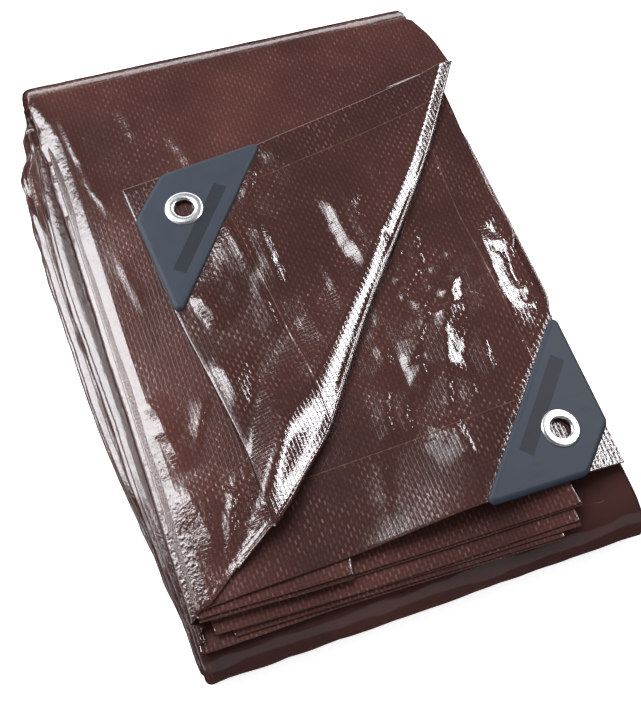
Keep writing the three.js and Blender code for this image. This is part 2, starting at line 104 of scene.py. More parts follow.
# Left side, by place along the packet, and the steps of the folds inside it
BACK_LEFT = [-124, -124.6, -125.4, -126.4, -127.6, -129, -131]
RUN_ROWS = rows_of("y bottom_left inner_left right", [
    (-125, -131, -129, 127),
    (-50, -138, -133, 124),
    (40, -141, -135, 125),
    (118, -142, -133, 123),
    (150, -140, -131, 121),
])
BACK_RIGHT = 119.0
FRONT_LEFT = -126.0
FRONT_RIGHT = 128.0
STEP_IN = {"low": 1, "middle": 3, "high": 0, "tab": 4, "second": -2, "top": 0}
LEFT_STEP_IN = [3.4, 1.7, 1.9, 3.6]
FRONT_STEP_IN = [17.0, 9.0, 2.5, 0.0]

# The second layer: its drooping corner and its free right edge
FRONT_CORNER = {"x": 129.5, "y": -157.0, "z": 35.3}
FRONT_LEG_TURN = 0.066
FRONT_SLOPE = {"x": -0.2, "y": 0.11}
SECOND_RIGHT = rows_of("y x", [
    (-66, 123.5),
    (9, 120.5),
    (106, 122.5),
    (175, 120),
])
DROOP_REACH = 55.0
CREASE_MARGIN = 6.0

# The laid corner, and the corner pieces' legs
LAID_CORNER = {"x": -85.5, "y": 95.0, "lift": 3.9}
LAID_LEG_TURN = 0.077
LAID_MIDDLE_LIFT = 2.6
LEG_LONG = 90.0
LEG_SHORT = 82.0

# Widths of the hems on the sheet's side and at its front end
SIDE_HEM = 22.0
FRONT_HEM = 51.0
FAR_FROM_HEM = 400.0

# The front edge that the front hems are measured from, on the top layer, the second layer and the laid corner
FRONT_HEM_LINE = {"x": [-124, -68], "y": [-170, -147]}
SECOND_FRONT_Y = [-171, -163, -157]
LAID_HEM_LINE = {"x": [-66, -71, -85.5], "y": [-142, -52, 95]}

# How finely the sheet is divided
FLAP_STEPS = 168
BACK_STEPS = 24
RUN_STEPS = 62
FRONT_STEPS = 14
TOP_COLUMNS = 92
SECOND_COLUMNS = 100
FOLD_MARGINS = [0.7, 2.5, 8.0]
RIGHT_FOLD_STEPS = 6
LEFT_FOLD_STEPS = 4
RIDGE_STEPS = 8
LOWEST = 0.15

# How finely the film is crinkled everywhere, and how little of the weave shows on the left side and beside
# it, where the same share also paints shade into the film's colour
WORN_EVERYWHERE = 0.02
SIDE_PLAIN_AND_SHADE = 0.65
TOP_LEFT_PLAIN_AND_SHADE = 0.6


def mix(a, b, share):
    return a + (b - a) * share


def clamp(value):
    return np.clip(value, 0.0, 1.0)


def smooth(value):
    value = clamp(value)
    return value * value * (3 - 2 * value)


def column(rows, key):
    return np.array([row[key] for row in rows], float)


def curve(xs, ys, x):
    """Smooth curve through the points of a table, without overshoot."""
    slopes = np.diff(ys) / np.diff(xs)
    inner = (slopes[1:] + slopes[:-1]) / 2 * (slopes[1:] * slopes[:-1] > 0)
    tangents = np.concatenate([[slopes[0]], inner, [slopes[-1]]])
    i = np.clip(np.searchsorted(xs, x, side="right") - 1, 0, len(xs) - 2)
    width = xs[i + 1] - xs[i]
    t = clamp((x - xs[i]) / width)
    start = (2 * t**3 - 3 * t**2 + 1) * ys[i] + (t**3 - 2 * t**2 + t) * width * tangents[i]
    end = (3 * t**2 - 2 * t**3) * ys[i + 1] + (t**3 - t**2) * width * tangents[i + 1]
    return start + end


def table(rows, key, by, x):
    """The smooth curve of one column of a table over another one."""
    return curve(column(rows, by), column(rows, key), x)


def random_at(i, j, seed):
    """A fixed random number from -1 to 1 for each whole-number place."""
    n = (i.astype(np.int64) * 374761393 + j.astype(np.int64) * 668265263 + seed * 2147483647) & 0xFFFFFFFF
    n = ((n ^ (n >> 13)) * 1274126177) & 0xFFFFFFFF
    return ((n ^ (n >> 16)) & 0xFFFF) / 32767.5 - 1


def ripple(u, v, size, seed):
    """Smooth random height from -1 to 1 whose hills are about size wide."""
    u, v = np.broadcast_arrays(np.asarray(u, float) / size, np.asarray(v, float) / size)
    i, j = np.floor(u), np.floor(v)
    s, t = smooth(u - i), smooth(v - j)
    low = mix(random_at(i, j, seed), random_at(i + 1, j, seed), s)
    high = mix(random_at(i, j + 1, seed), random_at(i + 1, j + 1, seed), s)
    return mix(low, high, t)


def crumple(u, v, size, seed):
    """Sharp-edged creases, as in stiff film: flat facets that meet in ridges."""
    total = np.zeros(np.broadcast(u, v).shape)
    for turn, part in ((0.0, 1.0), (0.9, 0.8), (2.0, 0.55)):
        a = u * math.cos(turn) + v * math.sin(turn)
        b = v * math.cos(turn) - u * math.sin(turn)
        scale = size * part
        total = total + part * (np.abs(ripple(a, b, scale, seed)) - 0.4)
        seed += 7
    return total / 2.35


# The strip


def back_bend_y(x):
    return BACK_BEND["y"] + BACK_BEND["skew"] * x


def front_bend_y(x):
    return FRONT_BEND["y"] + FRONT_BEND["skew"] * x


def level_offset(level, looseness):
    """Height of a level over the lowest one, tight at the bends and loose towards the flap's front edge."""
    loose = np.interp(level, np.arange(TOP + 1), LOOSE_OFFSETS)
    return mix(level * TIGHT_PITCH, loose, clamp(looseness / LOOSE_REACH))


def strip_point(place, x, level):
    """Points of one row of the strip, for places across it and levels, and their way along the sheet."""
    x, level = np.broadcast_arrays(np.asarray(x, float), np.asarray(level, float))
    offset = level_offset(level, place["looseness"])
    back_radius = (FLAP_HEIGHT - BOTTOM_HEIGHT) / 2
    front_radius = (INNER_HEIGHT - BOTTOM_HEIGHT) / 2
    run = BACK_BEND["y"] - FRONT_BEND["y"]
    back_arc = math.pi * (back_radius + offset)
    if place["zone"] == "flap":
        front = np.interp(level, np.arange(TOP + 1), FLAP_FRONT_Y)
        y = mix(front, back_bend_y(x), place["share"])
        wavy = place["looseness"] * (level < TOP)
        y = y + 1.6 * wavy * ripple(x, level * 37.0, 58.0, 91)
        z = FLAP_HEIGHT + offset + 0.55 * wavy * ripple(x, np.floor(level / 2) * 29.0, 44.0, 93)
        return np.stack([x, y, z], -1), y
    if place["zone"] == "back":
        angle = math.pi * place["turn"]
        radius = back_radius + offset
        y = back_bend_y(x) + radius * math.sin(angle)
        z = (FLAP_HEIGHT + BOTTOM_HEIGHT) / 2 + radius * math.cos(angle)
        return np.stack([x, y, z], -1), back_bend_y(x) + radius * angle
    if place["zone"] == "bottom":
        y = np.full_like(x, place["y"])
        return np.stack([x, y, BOTTOM_HEIGHT - offset], -1), 2 * back_bend_y(x) + back_arc - y
    if place["zone"] == "front":
        angle = math.pi * place["turn"]
        radius = front_radius + offset
        y = front_bend_y(x) - (radius + FRONT_BULGE * level / TOP) * math.sin(angle)
        z = (INNER_HEIGHT + BOTTOM_HEIGHT) / 2 - radius * math.cos(angle)
        along = BACK_BEND["y"] + back_arc + run + radius * angle
        return np.stack([x, y, z], -1), along
    y = np.full_like(x, place["y"])
    along = BACK_BEND["y"] + back_arc + run + math.pi * (front_radius + offset) + y - FRONT_BEND["y"]
    return np.stack([x, y, INNER_HEIGHT + offset], -1), along


def places_along():
    """Places along the strip, from the front edge of the flap to the end of the inner run."""
    places = []
    for share in np.linspace(0, 1, FLAP_STEPS + 1):
        place = {"zone": "flap", "share": share, "looseness": 1 - share, "left": FLAP_LEFT}
        for pair in ("low", "middle", "high", "tab"):
            place[pair] = float(table(FLAP_ROWS, pair, "share", share))
        place["slant"] = float(table(FLAP_ROWS, "slant", "share", share))
        places.append(place)
    turns = np.linspace(0, 1, BACK_STEPS + 1)[1:]
    for turn in turns:
        left = float(np.interp(turn, np.linspace(0, 1, len(BACK_LEFT)), BACK_LEFT))
        right = mix(BACK_RIGHT, RUN_ROWS[-1]["right"], turn)
        places.append({"zone": "back", "turn": turn, "looseness": 0, "left": left, "right": right})
    run_y = np.linspace(back_bend_y(0) - 4, front_bend_y(0) + 4, RUN_STEPS)
    for y in run_y:
        left, right = side_of_run("bottom_left", y)
        places.append({"zone": "bottom", "y": y, "looseness": 0, "left": left, "right": right})
    for turn in np.linspace(0, 1, FRONT_STEPS + 1):
        place = {"zone": "front", "turn": turn, "looseness": 0, "left": FRONT_LEFT, "right": FRONT_RIGHT}
        places.append(place)
    for y in run_y[::-1][:-2]:
        left, right = side_of_run("inner_left", y)
        places.append({"zone": "inner", "y": y, "looseness": 0, "left": left, "right": right})
    return places


def side_of_run(side, y):
    """Left and right side of a lower run, drawn in to the bends at its ends."""
    left = float(table(RUN_ROWS, side, "y", np.array(y)))
    right = float(table(RUN_ROWS, "right", "y", np.array(y)))
    to_front = float(smooth((-125 - y) / 50))
    to_back = float(smooth((y - 150) / 22))
    left = mix(left, FRONT_LEFT, to_front)
    back_left = BACK_LEFT[-1] if side == "bottom_left" else -130.0
    return mix(left, back_left, to_back), mix(right, FRONT_RIGHT, to_front)


# The left side, where the folds of the layers lie over each other: ridges with grooves between them


RIDGE_COLUMNS = "from to out top groove"
RIDGES = {
    "flap": rows_of(RIDGE_COLUMNS, [
        (9.0, 3.6, 0.0, 9.5, 5.0),
        (3.6, 1.6, -2.2, 2.6, 3.0),
        (1.6, 0.0, -0.8, 2.5, 3.0),
    ]),
    "back": rows_of(RIDGE_COLUMNS, [
        (9.0, 5.2, 0.0, 6.0, 4.5),
        (5.2, 2.2, -1.5, 3.5, 3.5),
        (2.2, 0.0, 0.0, 3.0, 3.0),
    ]),
    "bottom": rows_of(RIDGE_COLUMNS, [
        (9.0, 6.0, -1.0, 3.5, 3.0),
        (6.0, 3.0, 0.0, 3.5, 3.5),
        (3.0, 0.0, -1.2, 3.0, 4.0),
    ]),
    "inner": rows_of(RIDGE_COLUMNS, [
        (9.0, 6.6, -2.4, 5.0, 3.0),
        (6.6, 3.4, 0.0, 3.5, 3.5),
        (3.4, 0.0, -1.5, 3.2, 3.5),
    ]),
}
FLANK_WIDTH = 12.5
FRONT_BULGE = 5.0


def ridges_at(place):
    """The ridges of a row, turning smoothly from one zone's to the next one's."""
    zone = place["zone"]
    if zone == "flap":
        rows, others, share = RIDGES["flap"], RIDGES["back"], smooth((place["share"] - 0.8) / 0.2)
    elif zone == "back":
        rows, others, share = RIDGES["back"], RIDGES["bottom"], smooth((place["turn"] - 0.5) * 2)
    elif zone == "front":
        rows, others, share = RIDGES["bottom"], RIDGES["inner"], smooth(np.array(place["turn"]))
    else:
        rows, others, share = RIDGES[zone], RIDGES[zone], 0.0
    return [{key: mix(a[key], b[key], float(share)) for key in a} for a, b in zip(rows, others)]


def left_fold(place, along):
    """Across-places and levels of the folded left side of one row, from the top layer down to the lowest."""
    across, levels = [], []
    flank = float(smooth((1 - place["share"]) / 0.12)) if place["zone"] == "flap" else 0.0
    for number, ridge in enumerate(ridges_at(place)):
        wander = float(ripple(along, 10.0 * number, 46.0, 3)) * 1.1
        shift = float(ripple(along, 7.0 * number, 30.0, 5))
        for step in range(RIDGE_STEPS + 1):
            if number and not step:
                continue
            angle = math.pi * step / RIDGE_STEPS
            depth = ridge["top"] if angle < math.pi / 2 else ridge["groove"] * (1 + 0.3 * shift)
            top = ridge["from"] - (0.35 * shift if number else 0)
            low = ridge["to"] + (0.35 * shift if ridge["to"] > 0 else 0)
            out = ridge["out"] + (wander if place["zone"] != "flap" else 0.35 * wander)
            inward, down = 1 - math.sin(angle), (1 - math.cos(angle)) / 2
            if not number and angle < math.pi / 2:
                flat = 1 - step / RIDGE_STEPS * 2
                inward, down = mix(inward, flat**1.25, flank), mix(down, 0.5 - 0.5 * flat**1.1, flank)
                depth = mix(depth, FLANK_WIDTH, flank)
            across.append(place["left"] - out + depth * inward)
            levels.append(mix(top, low, down))
    return np.array(across), np.clip(np.array(levels), 0, TOP)


def small_fold(place, x, side, low, steps):
    """A fold between two neighbouring levels at one side of the strip."""
    angle = np.linspace(0, math.pi, steps + 1)
    offsets = level_offset(np.array([low, low + 1.0]), place["looseness"])
    radius = (offsets[1] - offsets[0]) / 2
    return x + side * radius * (np.sin(angle) - 1), low + (1 - np.cos(angle)) / 2


# The slanted fold


def slant_line(slant):
    """Place on the outer line of the slanted fold."""
    return np.stack([table(SLANT_LINE, "x", "slant", slant), table(SLANT_LINE, "y", "slant", slant)], -1)


SLANT_START = slant_line(np.array(0.0))
SLANT_END = slant_line(np.array(1.0))
SLANT_OUT = np.array([SLANT_END[1] - SLANT_START[1], SLANT_START[0] - SLANT_END[0]])
SLANT_OUT = SLANT_OUT / np.hypot(*SLANT_OUT)
FRONT_LIFT = 6.5
FRONT_BELLY = 1.6


def fold_root(slant):
    """Where the top layer meets the slanted fold, and the fold's radius there."""
    radius = table(SLANT_LINE, "radius", "slant", slant)
    xy = slant_line(slant) - SLANT_OUT * radius[..., None]
    z = TOP_HEIGHT + FRONT_LIFT * (1 - smooth(slant / 0.2))
    return np.concatenate([xy, z[..., None]], -1), radius


# Creases left in the film: a crest line on the sheet, the width and slope of the facet on its one side, and
# on which side the facet lies (1 is right of a line that runs to the front). The other side slopes gently.
GENTLE_SLOPE = 0.09
TOP_CREASES = rows_of("x0 y0 x1 y1 facet slope side", [
    (-108, 160, -105, 122, 2.2, 0.3, -1),
    (-105, 122, -99, 84, 2.5, 0.2, -1),
    (-70, 160, -69, 134, 5, 0.15, -1),
    (-47, 132, -42, 102, 5, 0.17, -1),
    (-101, 52, -96, 14, 3, 0.16, -1),
    (-112, -44, -104, -68, 5, 0.2, -1),
    (-107, -62, -103, -90, 6, 0.23, -1),
    (-78, -52, -94, -80, 3, 0.3, 1),
    (-105, -100, -99, -148, 10, 0.22, -1),
    (-78, -104, -96, -150, 4, 0.24, -1),
    (20, 165, 26, 120, 5, 0.11, -1),
    (70, 160, 78, 128, 5, 0.12, 1),
    (116, 166, 124, 136, 4, 0.18, 1),
])
LAID_CREASES = rows_of("x0 y0 x1 y1 facet slope side", [
    (-37, 60, -31, 19, 4.5, 0.36, 1),
    (-19, 58, -17, -2, 5, 0.34, 1),
    (26, 53, 33, 3, 7, 0.34, -1),
    (38, 58, 40, 16, 4, 0.24, -1),
    (7, 99, 8, 86, 3, 0.3, 1),
    (-6, 92, -18, 68, 5, 0.28, 1),
    (-66, 12, -58, -12, 8, 0.28, -1),
    (-66, -34, -61, -66, 6, 0.28, -1),
    (-30, 4, -27, -26, 4, 0.22, 1),
    (-8, -6, -6, -40, 4, 0.24, 1),
    (10, 8, 10, -22, 3, 0.2, -1),
    (62, 74, 60, 42, 3, 0.18, 1),
])
SECOND_CREASES = rows_of("x0 y0 x1 y1 facet slope side", [
    (80, -22, 68, -46, 7, 0.32, 1),
    (67, -38, 54, -82, 11, 0.32, 1),
    (53, -80, 48, -102, 3.5, 0.34, 1),
    (60, -36, 41, -63, 3, 0.36, 1),
    (41, -60, 42, -80, 3.5, 0.36, 1),
    (42, -77, 33, -90, 3, 0.34, 1),
    (31, -84, 23, -94, 2.5, 0.36, 1),
    (23, -91, 22, -110, 2.5, 0.34, 1),
    (18, -78, 13, -94, 3, 0.34, 1),
    (13, -92, 13, -110, 3, 0.34, 1),
    (104, 12, 102, -62, 14, 0.3, 1),
    (81, -62, 79, -90, 3, 0.3, 1),
    (66, -84, 62, -102, 3, 0.28, 1),
    (47, -108, 47, -136, 5, 0.32, 1),
    (70, 24, 64, -10, 3, 0.22, 1),
    (2, -120, -6, -150, 4, 0.2, 1),
])


def crease_height(creases, x, y):
    """Height of the creases at points: a facet on one side of each crest, a gentle slope on the other."""
    height = np.zeros_like(x)
    for crease in creases:
        dx, dy = crease["x1"] - crease["x0"], crease["y1"] - crease["y0"]
        length = math.hypot(dx, dy)
        along = ((x - crease["x0"]) * dx + (y - crease["y0"]) * dy) / length**2
        away = ((x - crease["x0"]) * -dy + (y - crease["y0"]) * dx) / length * crease["side"]
        away = away + 0.9 * ripple(x, y, 13.0, 11) + 0.35 * ripple(x, y, 5.0, 12)
        facet = crease["facet"] * (1 + 0.3 * ripple(x, y, 17.0, 17) + 0.25 * ripple(x, y, 6.0, 18))
        gentle = crease["slope"] * facet / GENTLE_SLOPE
        flank = np.where(away > 0, 1 - away / facet, 1 + away / gentle)
        fade = smooth((along + 0.14) / 0.4) * smooth((1.14 - along) / 0.4)
        height = height + crease["slope"] * crease["facet"] * clamp(flank) * fade
    return height


# Top layer, second layer, and the row of the whole sheet


def top_layer(place, left_end):
    """Top layer of the flap at one row, from the slanted fold or the free edge to the left side."""
    share = place["share"]
    if share < SLANT_ENDS_AT:
        root, _ = fold_root(np.array(place["slant"]))
    else:
        edge = [float(table(TOP_EDGE, key, "share", np.array(share))) for key in ("x", "y")]
        root = np.array([*edge, TOP_HEIGHT])
    level_z = FLAP_HEIGHT + float(level_offset(TOP, place["looseness"]))
    across = np.linspace(0, 1, TOP_COLUMNS)
    across = mix(across, 1 - (1 - across) ** 1.7, 0.75)
    points = root + (left_end - root) * across[:, None]
    x, y = points[:, 0], points[:, 1]
    rise = (root[2] - TOP_HEIGHT) * (1 - smooth((np.hypot(x - root[0], y - root[1])) / 42))
    points[:, 2] = level_z + rise
    belly = np.sin(math.pi * clamp((x - left_end[0]) / (root[0] - left_end[0])))
    points[:, 1] += FRONT_BELLY * belly * (1 - smooth(share / 0.12)) * np.where(x < -92, 1, 0.3)
    return points


def front_plane(x, y):
    """Height of the plane in which the drooping corner and its corner piece lie."""
    away_x, away_y = x - FRONT_CORNER["x"], y - FRONT_CORNER["y"]
    return FRONT_CORNER["z"] + FRONT_SLOPE["x"] * away_x + FRONT_SLOPE["y"] * away_y


def unit(x, y):
    return np.array([x, y]) / math.hypot(x, y)


CORNER_XY = np.array([FRONT_CORNER["x"], FRONT_CORNER["y"]])
LEG_BACK = unit(-FRONT_LEG_TURN, 1)
LEG_LEFT = unit(-1, -FRONT_LEG_TURN)
CREASE_ALONG = LEG_BACK * LEG_LONG - LEG_LEFT * LEG_SHORT
CREASE_OUT = unit(CREASE_ALONG[1], -CREASE_ALONG[0])
CREASE_START = CORNER_XY + LEG_LEFT * (LEG_SHORT + CREASE_MARGIN)


def second_layer(place, start_x):
    """Second layer of the flap at one row, from the left fold to its free right edge."""
    share = place["share"]
    level_y = FLAP_FRONT_Y[SECOND]

    def row_y(x):
        left = mix(CREASE_START[1], level_y, (CREASE_START[0] - x) / (CREASE_START[0] - FLAP_LEFT))
        right = CREASE_START[1] + (x - CREASE_START[0]) * FRONT_LEG_TURN
        return mix(np.where(x < CREASE_START[0], left, right), back_bend_y(x), share)

    guess = float(row_y(np.array(CORNER_XY[0])))
    along = guess - CORNER_XY[1]
    right = CORNER_XY[0] - FRONT_LEG_TURN * along
    if along >= LEG_LONG:
        right = float(table(SECOND_RIGHT, "x", "y", np.array(guess)))
    fold_x = min(float(slant_line(np.array(place["slant"]))[0]) - 24, right - 30)
    hidden = SECOND_COLUMNS // 8
    x = np.concatenate([
        np.linspace(start_x, fold_x, hidden + 1)[1:],
        np.linspace(fold_x, right, SECOND_COLUMNS - hidden + 1)[1:],
    ])
    y = row_y(x)
    flat, _ = strip_point(place, x, SECOND)
    before = -((x - CREASE_START[0]) * CREASE_OUT[0] + (y - CREASE_START[1]) * CREASE_OUT[1])
    at_crease = front_plane(x + before * CREASE_OUT[0], y + before * CREASE_OUT[1])
    settled = mix(at_crease, flat[:, 2], smooth(before / DROOP_REACH))
    z = np.where(before <= 0, front_plane(x, y), settled)
    return np.stack([x, y, z], -1)


def between_folds(x_from, x_to):
    """Places across a layer from one fold to the next, close together beside the folds."""
    way = math.copysign(1, x_to - x_from)
    near, far = np.array(FOLD_MARGINS), np.array(FOLD_MARGINS[::-1])
    middle = mix(x_from, x_to, np.array([0.36, 0.64]))
    return np.concatenate([x_from + way * near, middle, x_to - way * far])


def sheet_row(place):
    """One row of the folded sheet: its points, their place on the weave, their distance from the hems, and
    which of them a coarse row keeps."""
    parts, weave, hems, kept = [], [], [], []

    def add(points, across, along, to_side, to_front, every=1, plain_and_shade=0.0):
        count = len(points)
        parts.append(points)
        weave.append(np.stack(np.broadcast_arrays(across, along, plain_and_shade), -1))
        hems.append(np.stack(np.broadcast_arrays(np.full(count, to_side) + 0.0, to_front), -1))
        mask = np.zeros(count, bool)
        mask[::every] = True
        kept.append(mask)

    on_flap = place["zone"] == "flap"
    outer = 0.0 if on_flap or place["zone"] == "back" else 1.0
    _, along_left = strip_point(place, place["left"], TOP)
    fold_x, fold_level = left_fold(place, float(along_left))
    fold, fold_along = strip_point(place, fold_x, fold_level)
    if on_flap:
        top = top_layer(place, fold[0])
        to_front = top[:, 1] - np.interp(top[:, 0], FRONT_HEM_LINE["x"], FRONT_HEM_LINE["y"])
        add(top[:-1], -top[:-1, 0], top[:-1, 1], FAR_FROM_HEM, to_front[:-1], 9)
    else:
        x = np.linspace(place["right"] - STEP_IN["top"], fold_x[0], TOP_COLUMNS)[:-1]
        points, along = strip_point(place, x, TOP)
        add(points, -x, along, FAR_FROM_HEM, FAR_FROM_HEM, 9, outer)
    seen = fold[:, [0, 2]] if place["zone"] in ("flap", "bottom", "inner") else fold
    step = np.linalg.norm(np.diff(seen, axis=0), axis=1)
    around = -fold_x[0] + np.concatenate([[0], np.cumsum(step)])
    add(fold, around, fold_along, FAR_FROM_HEM, along_left - FLAP_FRONT_Y[TOP])
    x_from = fold_x[-1]
    for number, pair in enumerate(("low", "middle", "high", "tab")):
        right = place.get(pair, place.get("right", 0) - STEP_IN[pair])
        left = place["left"] + LEFT_STEP_IN[number]
        if on_flap:
            left += FRONT_STEP_IN[number] * (1 - float(smooth(place["share"] / 0.12)))
        for level, x_to, side, steps in (
            (2 * number, right, 1, RIGHT_FOLD_STEPS),
            (2 * number + 1, left, -1, LEFT_FOLD_STEPS),
        ):
            turn_x, turn_level = small_fold(place, x_to, side, level, steps)
            x = between_folds(x_from, turn_x[0])
            points, along = strip_point(place, x, level)
            to_front = along - FLAP_FRONT_Y[level] if on_flap else FAR_FROM_HEM
            add(points, side * x, along, FAR_FROM_HEM, to_front)
            points, along = strip_point(place, turn_x, turn_level)
            to_front = along - FLAP_FRONT_Y[level] if on_flap else FAR_FROM_HEM
            add(points, side * turn_x, along, FAR_FROM_HEM, to_front)
            x_from = turn_x[-1]
    if on_flap:
        second = second_layer(place, x_from)
        x, y = second[:, 0], second[:, 1]
        line = np.interp(x, [FLAP_LEFT, CREASE_START[0], CORNER_XY[0]], SECOND_FRONT_Y)
        add(second, x, y, x[-1] - x, y - line, 10)
    else:
        x = np.linspace(x_from, place["right"] - STEP_IN["second"], SECOND_COLUMNS + 1)[1:]
        points, along = strip_point(place, x, SECOND)
        add(points, x, along, x[-1] - x, FAR_FROM_HEM, 10)
    kept[0][0] = True
    kept[-1][-1] = True
    return (np.concatenate(parts), np.concatenate(weave), np.concatenate(hems), np.concatenate(kept))


def grid_normals(points):
    """Normals of a grid of points, from its rows and columns."""
    along = np.gradient(points, axis=0)
    across = np.gradient(points, axis=1)
    normal = np.cross(across, along)
    return normal / np.maximum(np.linalg.norm(normal, axis=-1, keepdims=True), 1e-9)


def placed(name, data):
    """A new object in the scene."""
    item = bpy.data.objects.new(name, data)
    bpy.context.scene.collection.objects.link(item)
    return item


def keep_values(mesh, label, values):
    """Stores three numbers at each point of a mesh, for its material to read."""
    attribute = mesh.attributes.new(label, "FLOAT_VECTOR", "POINT")
    attribute.data.foreach_set("vector", np.asarray(values, np.float32).ravel())


def sheet_mesh(name, points, weave, hems, worn, kept=None):
    """A mesh from a grid of points. It carries the place on the weave and how plain the film is there, which
    also sets its painted shade, the distances from the hems, and how finely the film is crinkled."""
    rows, columns = points.shape[:2]
    if kept is None:
        kept = np.ones((rows, columns), bool)
    index = -np.ones((rows, columns), int)
    index[kept] = np.arange(kept.sum())
    faces = []
    for i in range(rows - 1):
        low, high = index[i], index[i + 1]
        shared = np.flatnonzero(kept[i] & kept[i + 1])
        for a, b in zip(shared[:-1], shared[1:]):
            front = [n for n in low[a:b + 1] if n >= 0]
            back = [n for n in high[a:b + 1] if n >= 0]
            faces.append([int(n) for n in front + back[::-1]])
    mesh = bpy.data.meshes.new(name)
    mesh.from_pydata(((points[kept] + ORIGIN) * MM).tolist(), [], faces)
    keep_values(mesh, "weave", weave[kept])
    keep_values(mesh, "hems", np.concatenate([hems, worn[..., None]], -1)[kept])
    mesh.polygons.foreach_set("use_smooth", [True] * len(mesh.polygons))
    mesh.update()
    return placed(name, mesh)


HEM_UNDER = rows_of("out down", [
    (0.45, 0.12),
    (0.62, 0.5),
    (0.45, 0.9),
    (-5.0, 1.0),
])


def turned_under(edge, inside, steps, drop=1.0):
    """Rows that turn a hem under its edge: edge is the edge's points, inside the direction into the sheet."""
    inside = inside / np.maximum(np.linalg.norm(inside, axis=-1, keepdims=True), 1e-6)
    rows = []
    for step in steps:
        row = edge - inside * step["out"]
        row[:, 2] -= step["down"] * drop
        rows.append(row)
    return rows


TOP_SWELLS = rows_of("height size seed", [(0.45, 58.0, 21), (0.2, 24.0, 22)])
SECOND_SWELLS = rows_of("height size seed", [(0.35, 52.0, 31), (0.18, 20.0, 32)])
LAID_SWELLS = rows_of("height size seed", [(0.5, 46.0, 61), (0.28, 19.0, 62)])


def swells(rows, x, y):
    """Low hills of several sizes, laid over each other."""
    return sum(row["height"] * ripple(x, y, row["size"], row["seed"]) for row in rows)


def sheet_regions(places, columns):
    """The regions of the folded sheet as masks over its grid, and how the crumples set in beside the top."""
    zone = np.array([place["zone"] for place in places])[:, None]
    number = np.arange(columns)[None, :]
    fold_start = TOP_COLUMNS - 1
    outer = number < fold_start
    return {
        "top": (zone == "flap") & (number < fold_start + 4),
        "second": (zone == "flap") & (number >= columns - SECOND_COLUMNS),
        "side": (number >= fold_start) & (number <= fold_start + 3 * RIDGE_STEPS),
        "front_wrap": (zone == "front") & outer,
        "back_wrap": (zone == "back") & outer,
        "lower_outside": np.isin(zone, ["bottom", "inner"]) & outer,
        "lower_runs": np.isin(zone, ["bottom", "inner"]),
        "set_in": smooth((number - fold_start - 1) / 5),
    }


def sheet_relief(x, y, weave, at, back_corner):
    """How far swells, creases and crumples push each point of the folded sheet out."""
    around, along = weave[..., 0], weave[..., 1]
    top = swells(TOP_SWELLS, x, y) + crease_height(TOP_CREASES, x, y)
    second = swells(SECOND_SWELLS, x, y) + crease_height(SECOND_CREASES, x, y)
    relief = np.where(at["top"], top, 0) + np.where(at["second"], second, 0)
    rough = np.where(at["side"], 1.0 + 3.6 * back_corner, 0.0) * at["set_in"]
    crush = crumple(around, along * 0.6, 13.0, 41) + 0.5 * crumple(around, along, 6.0, 47)
    crush = crush + 1.2 * back_corner * crumple(around, along * 0.8, 24.0, 43)
    wrap = np.where(at["front_wrap"], 2.0 * crumple(x * 0.45, along, 13.0, 51), 0)
    wrap = wrap + np.where(at["back_wrap"], 0.45 * crumple(x * 0.4, along, 9.0, 53), 0)
    return np.where(at["lower_outside"], 0, relief + rough * crush * 1.1 + wrap)


def sheet_wear(x, y, at, back_corner):
    """How finely the film is crinkled at each point of the folded sheet."""
    to_piece = ((x - CORNER_XY[0]) * LEG_LEFT[0] + (y - CORNER_XY[1]) * LEG_LEFT[1]) / LEG_SHORT
    to_piece = to_piece + ((x - CORNER_XY[0]) * LEG_BACK[0] + (y - CORNER_XY[1]) * LEG_BACK[1]) / LEG_LONG
    worn = np.full(x.shape, WORN_EVERYWHERE)
    worn = np.where(at["second"], worn + 0.12 * clamp(1.35 - to_piece), worn)
    worn = np.where(at["side"], 0.03 + 0.1 * clamp(back_corner), worn)
    worn = np.where(at["top"], worn + 0.12 * smooth((-96 - x) / 20), worn)
    near_front = smooth((-84 - y) / 46) * smooth((-58 - x) / 14) * (0.75 + 0.5 * ripple(x, y, 15.0, 75))
    return np.where(at["top"], worn + 0.95 * near_front, worn)


def folded_sheet():
    """The whole folded sheet apart from its laid corner."""
    places = places_along()
    points, weave, hems, few = (np.stack(values) for values in zip(*[sheet_row(place) for place in places]))
    at = sheet_regions(places, points.shape[1])
    kept = few | ~at["lower_runs"]

    x, y = points[..., 0], points[..., 1]
    back_corner = smooth((y - 60) / 110) * (points[..., 2] < TOP_HEIGHT - 2)
    worn = sheet_wear(x, y, at, back_corner)
    plain_and_shade = np.where(at["side"], SIDE_PLAIN_AND_SHADE, np.where(at["top"], TOP_LEFT_PLAIN_AND_SHADE * smooth((-106 - x) / 14), 0))
    weave[..., 2] = np.maximum(weave[..., 2], plain_and_shade)
    normals = grid_normals(points)
    upward = np.where(normals[..., 2:] < 0, -1, 1)
    push = np.where((at["top"] | at["second"])[..., None], normals * upward, -normals)
    points = points + push * sheet_relief(x, y, weave, at, back_corner)[..., None]
    points[..., 2] = np.maximum(points[..., 2], LOWEST)

    inward = np.zeros_like(points[0])
    inward[:, 1] = 1.0
    under = turned_under(points[0], inward, HEM_UNDER)[::-1]
    points = np.concatenate([np.stack(under), points])
    ends = len(under)
    weave = np.concatenate([np.stack([weave[0] - [0, 1.2 * (ends - n), 0] for n in range(ends)]), weave])
    hems = np.concatenate([np.stack([hems[0]] * ends), hems])
    kept = np.concatenate([np.ones((ends, kept.shape[1]), bool), kept])
    worn = np.concatenate([np.repeat(worn[:1], ends, 0), worn])
    return sheet_mesh("tarp_sheet", points, weave, hems, worn, kept)


# The laid corner


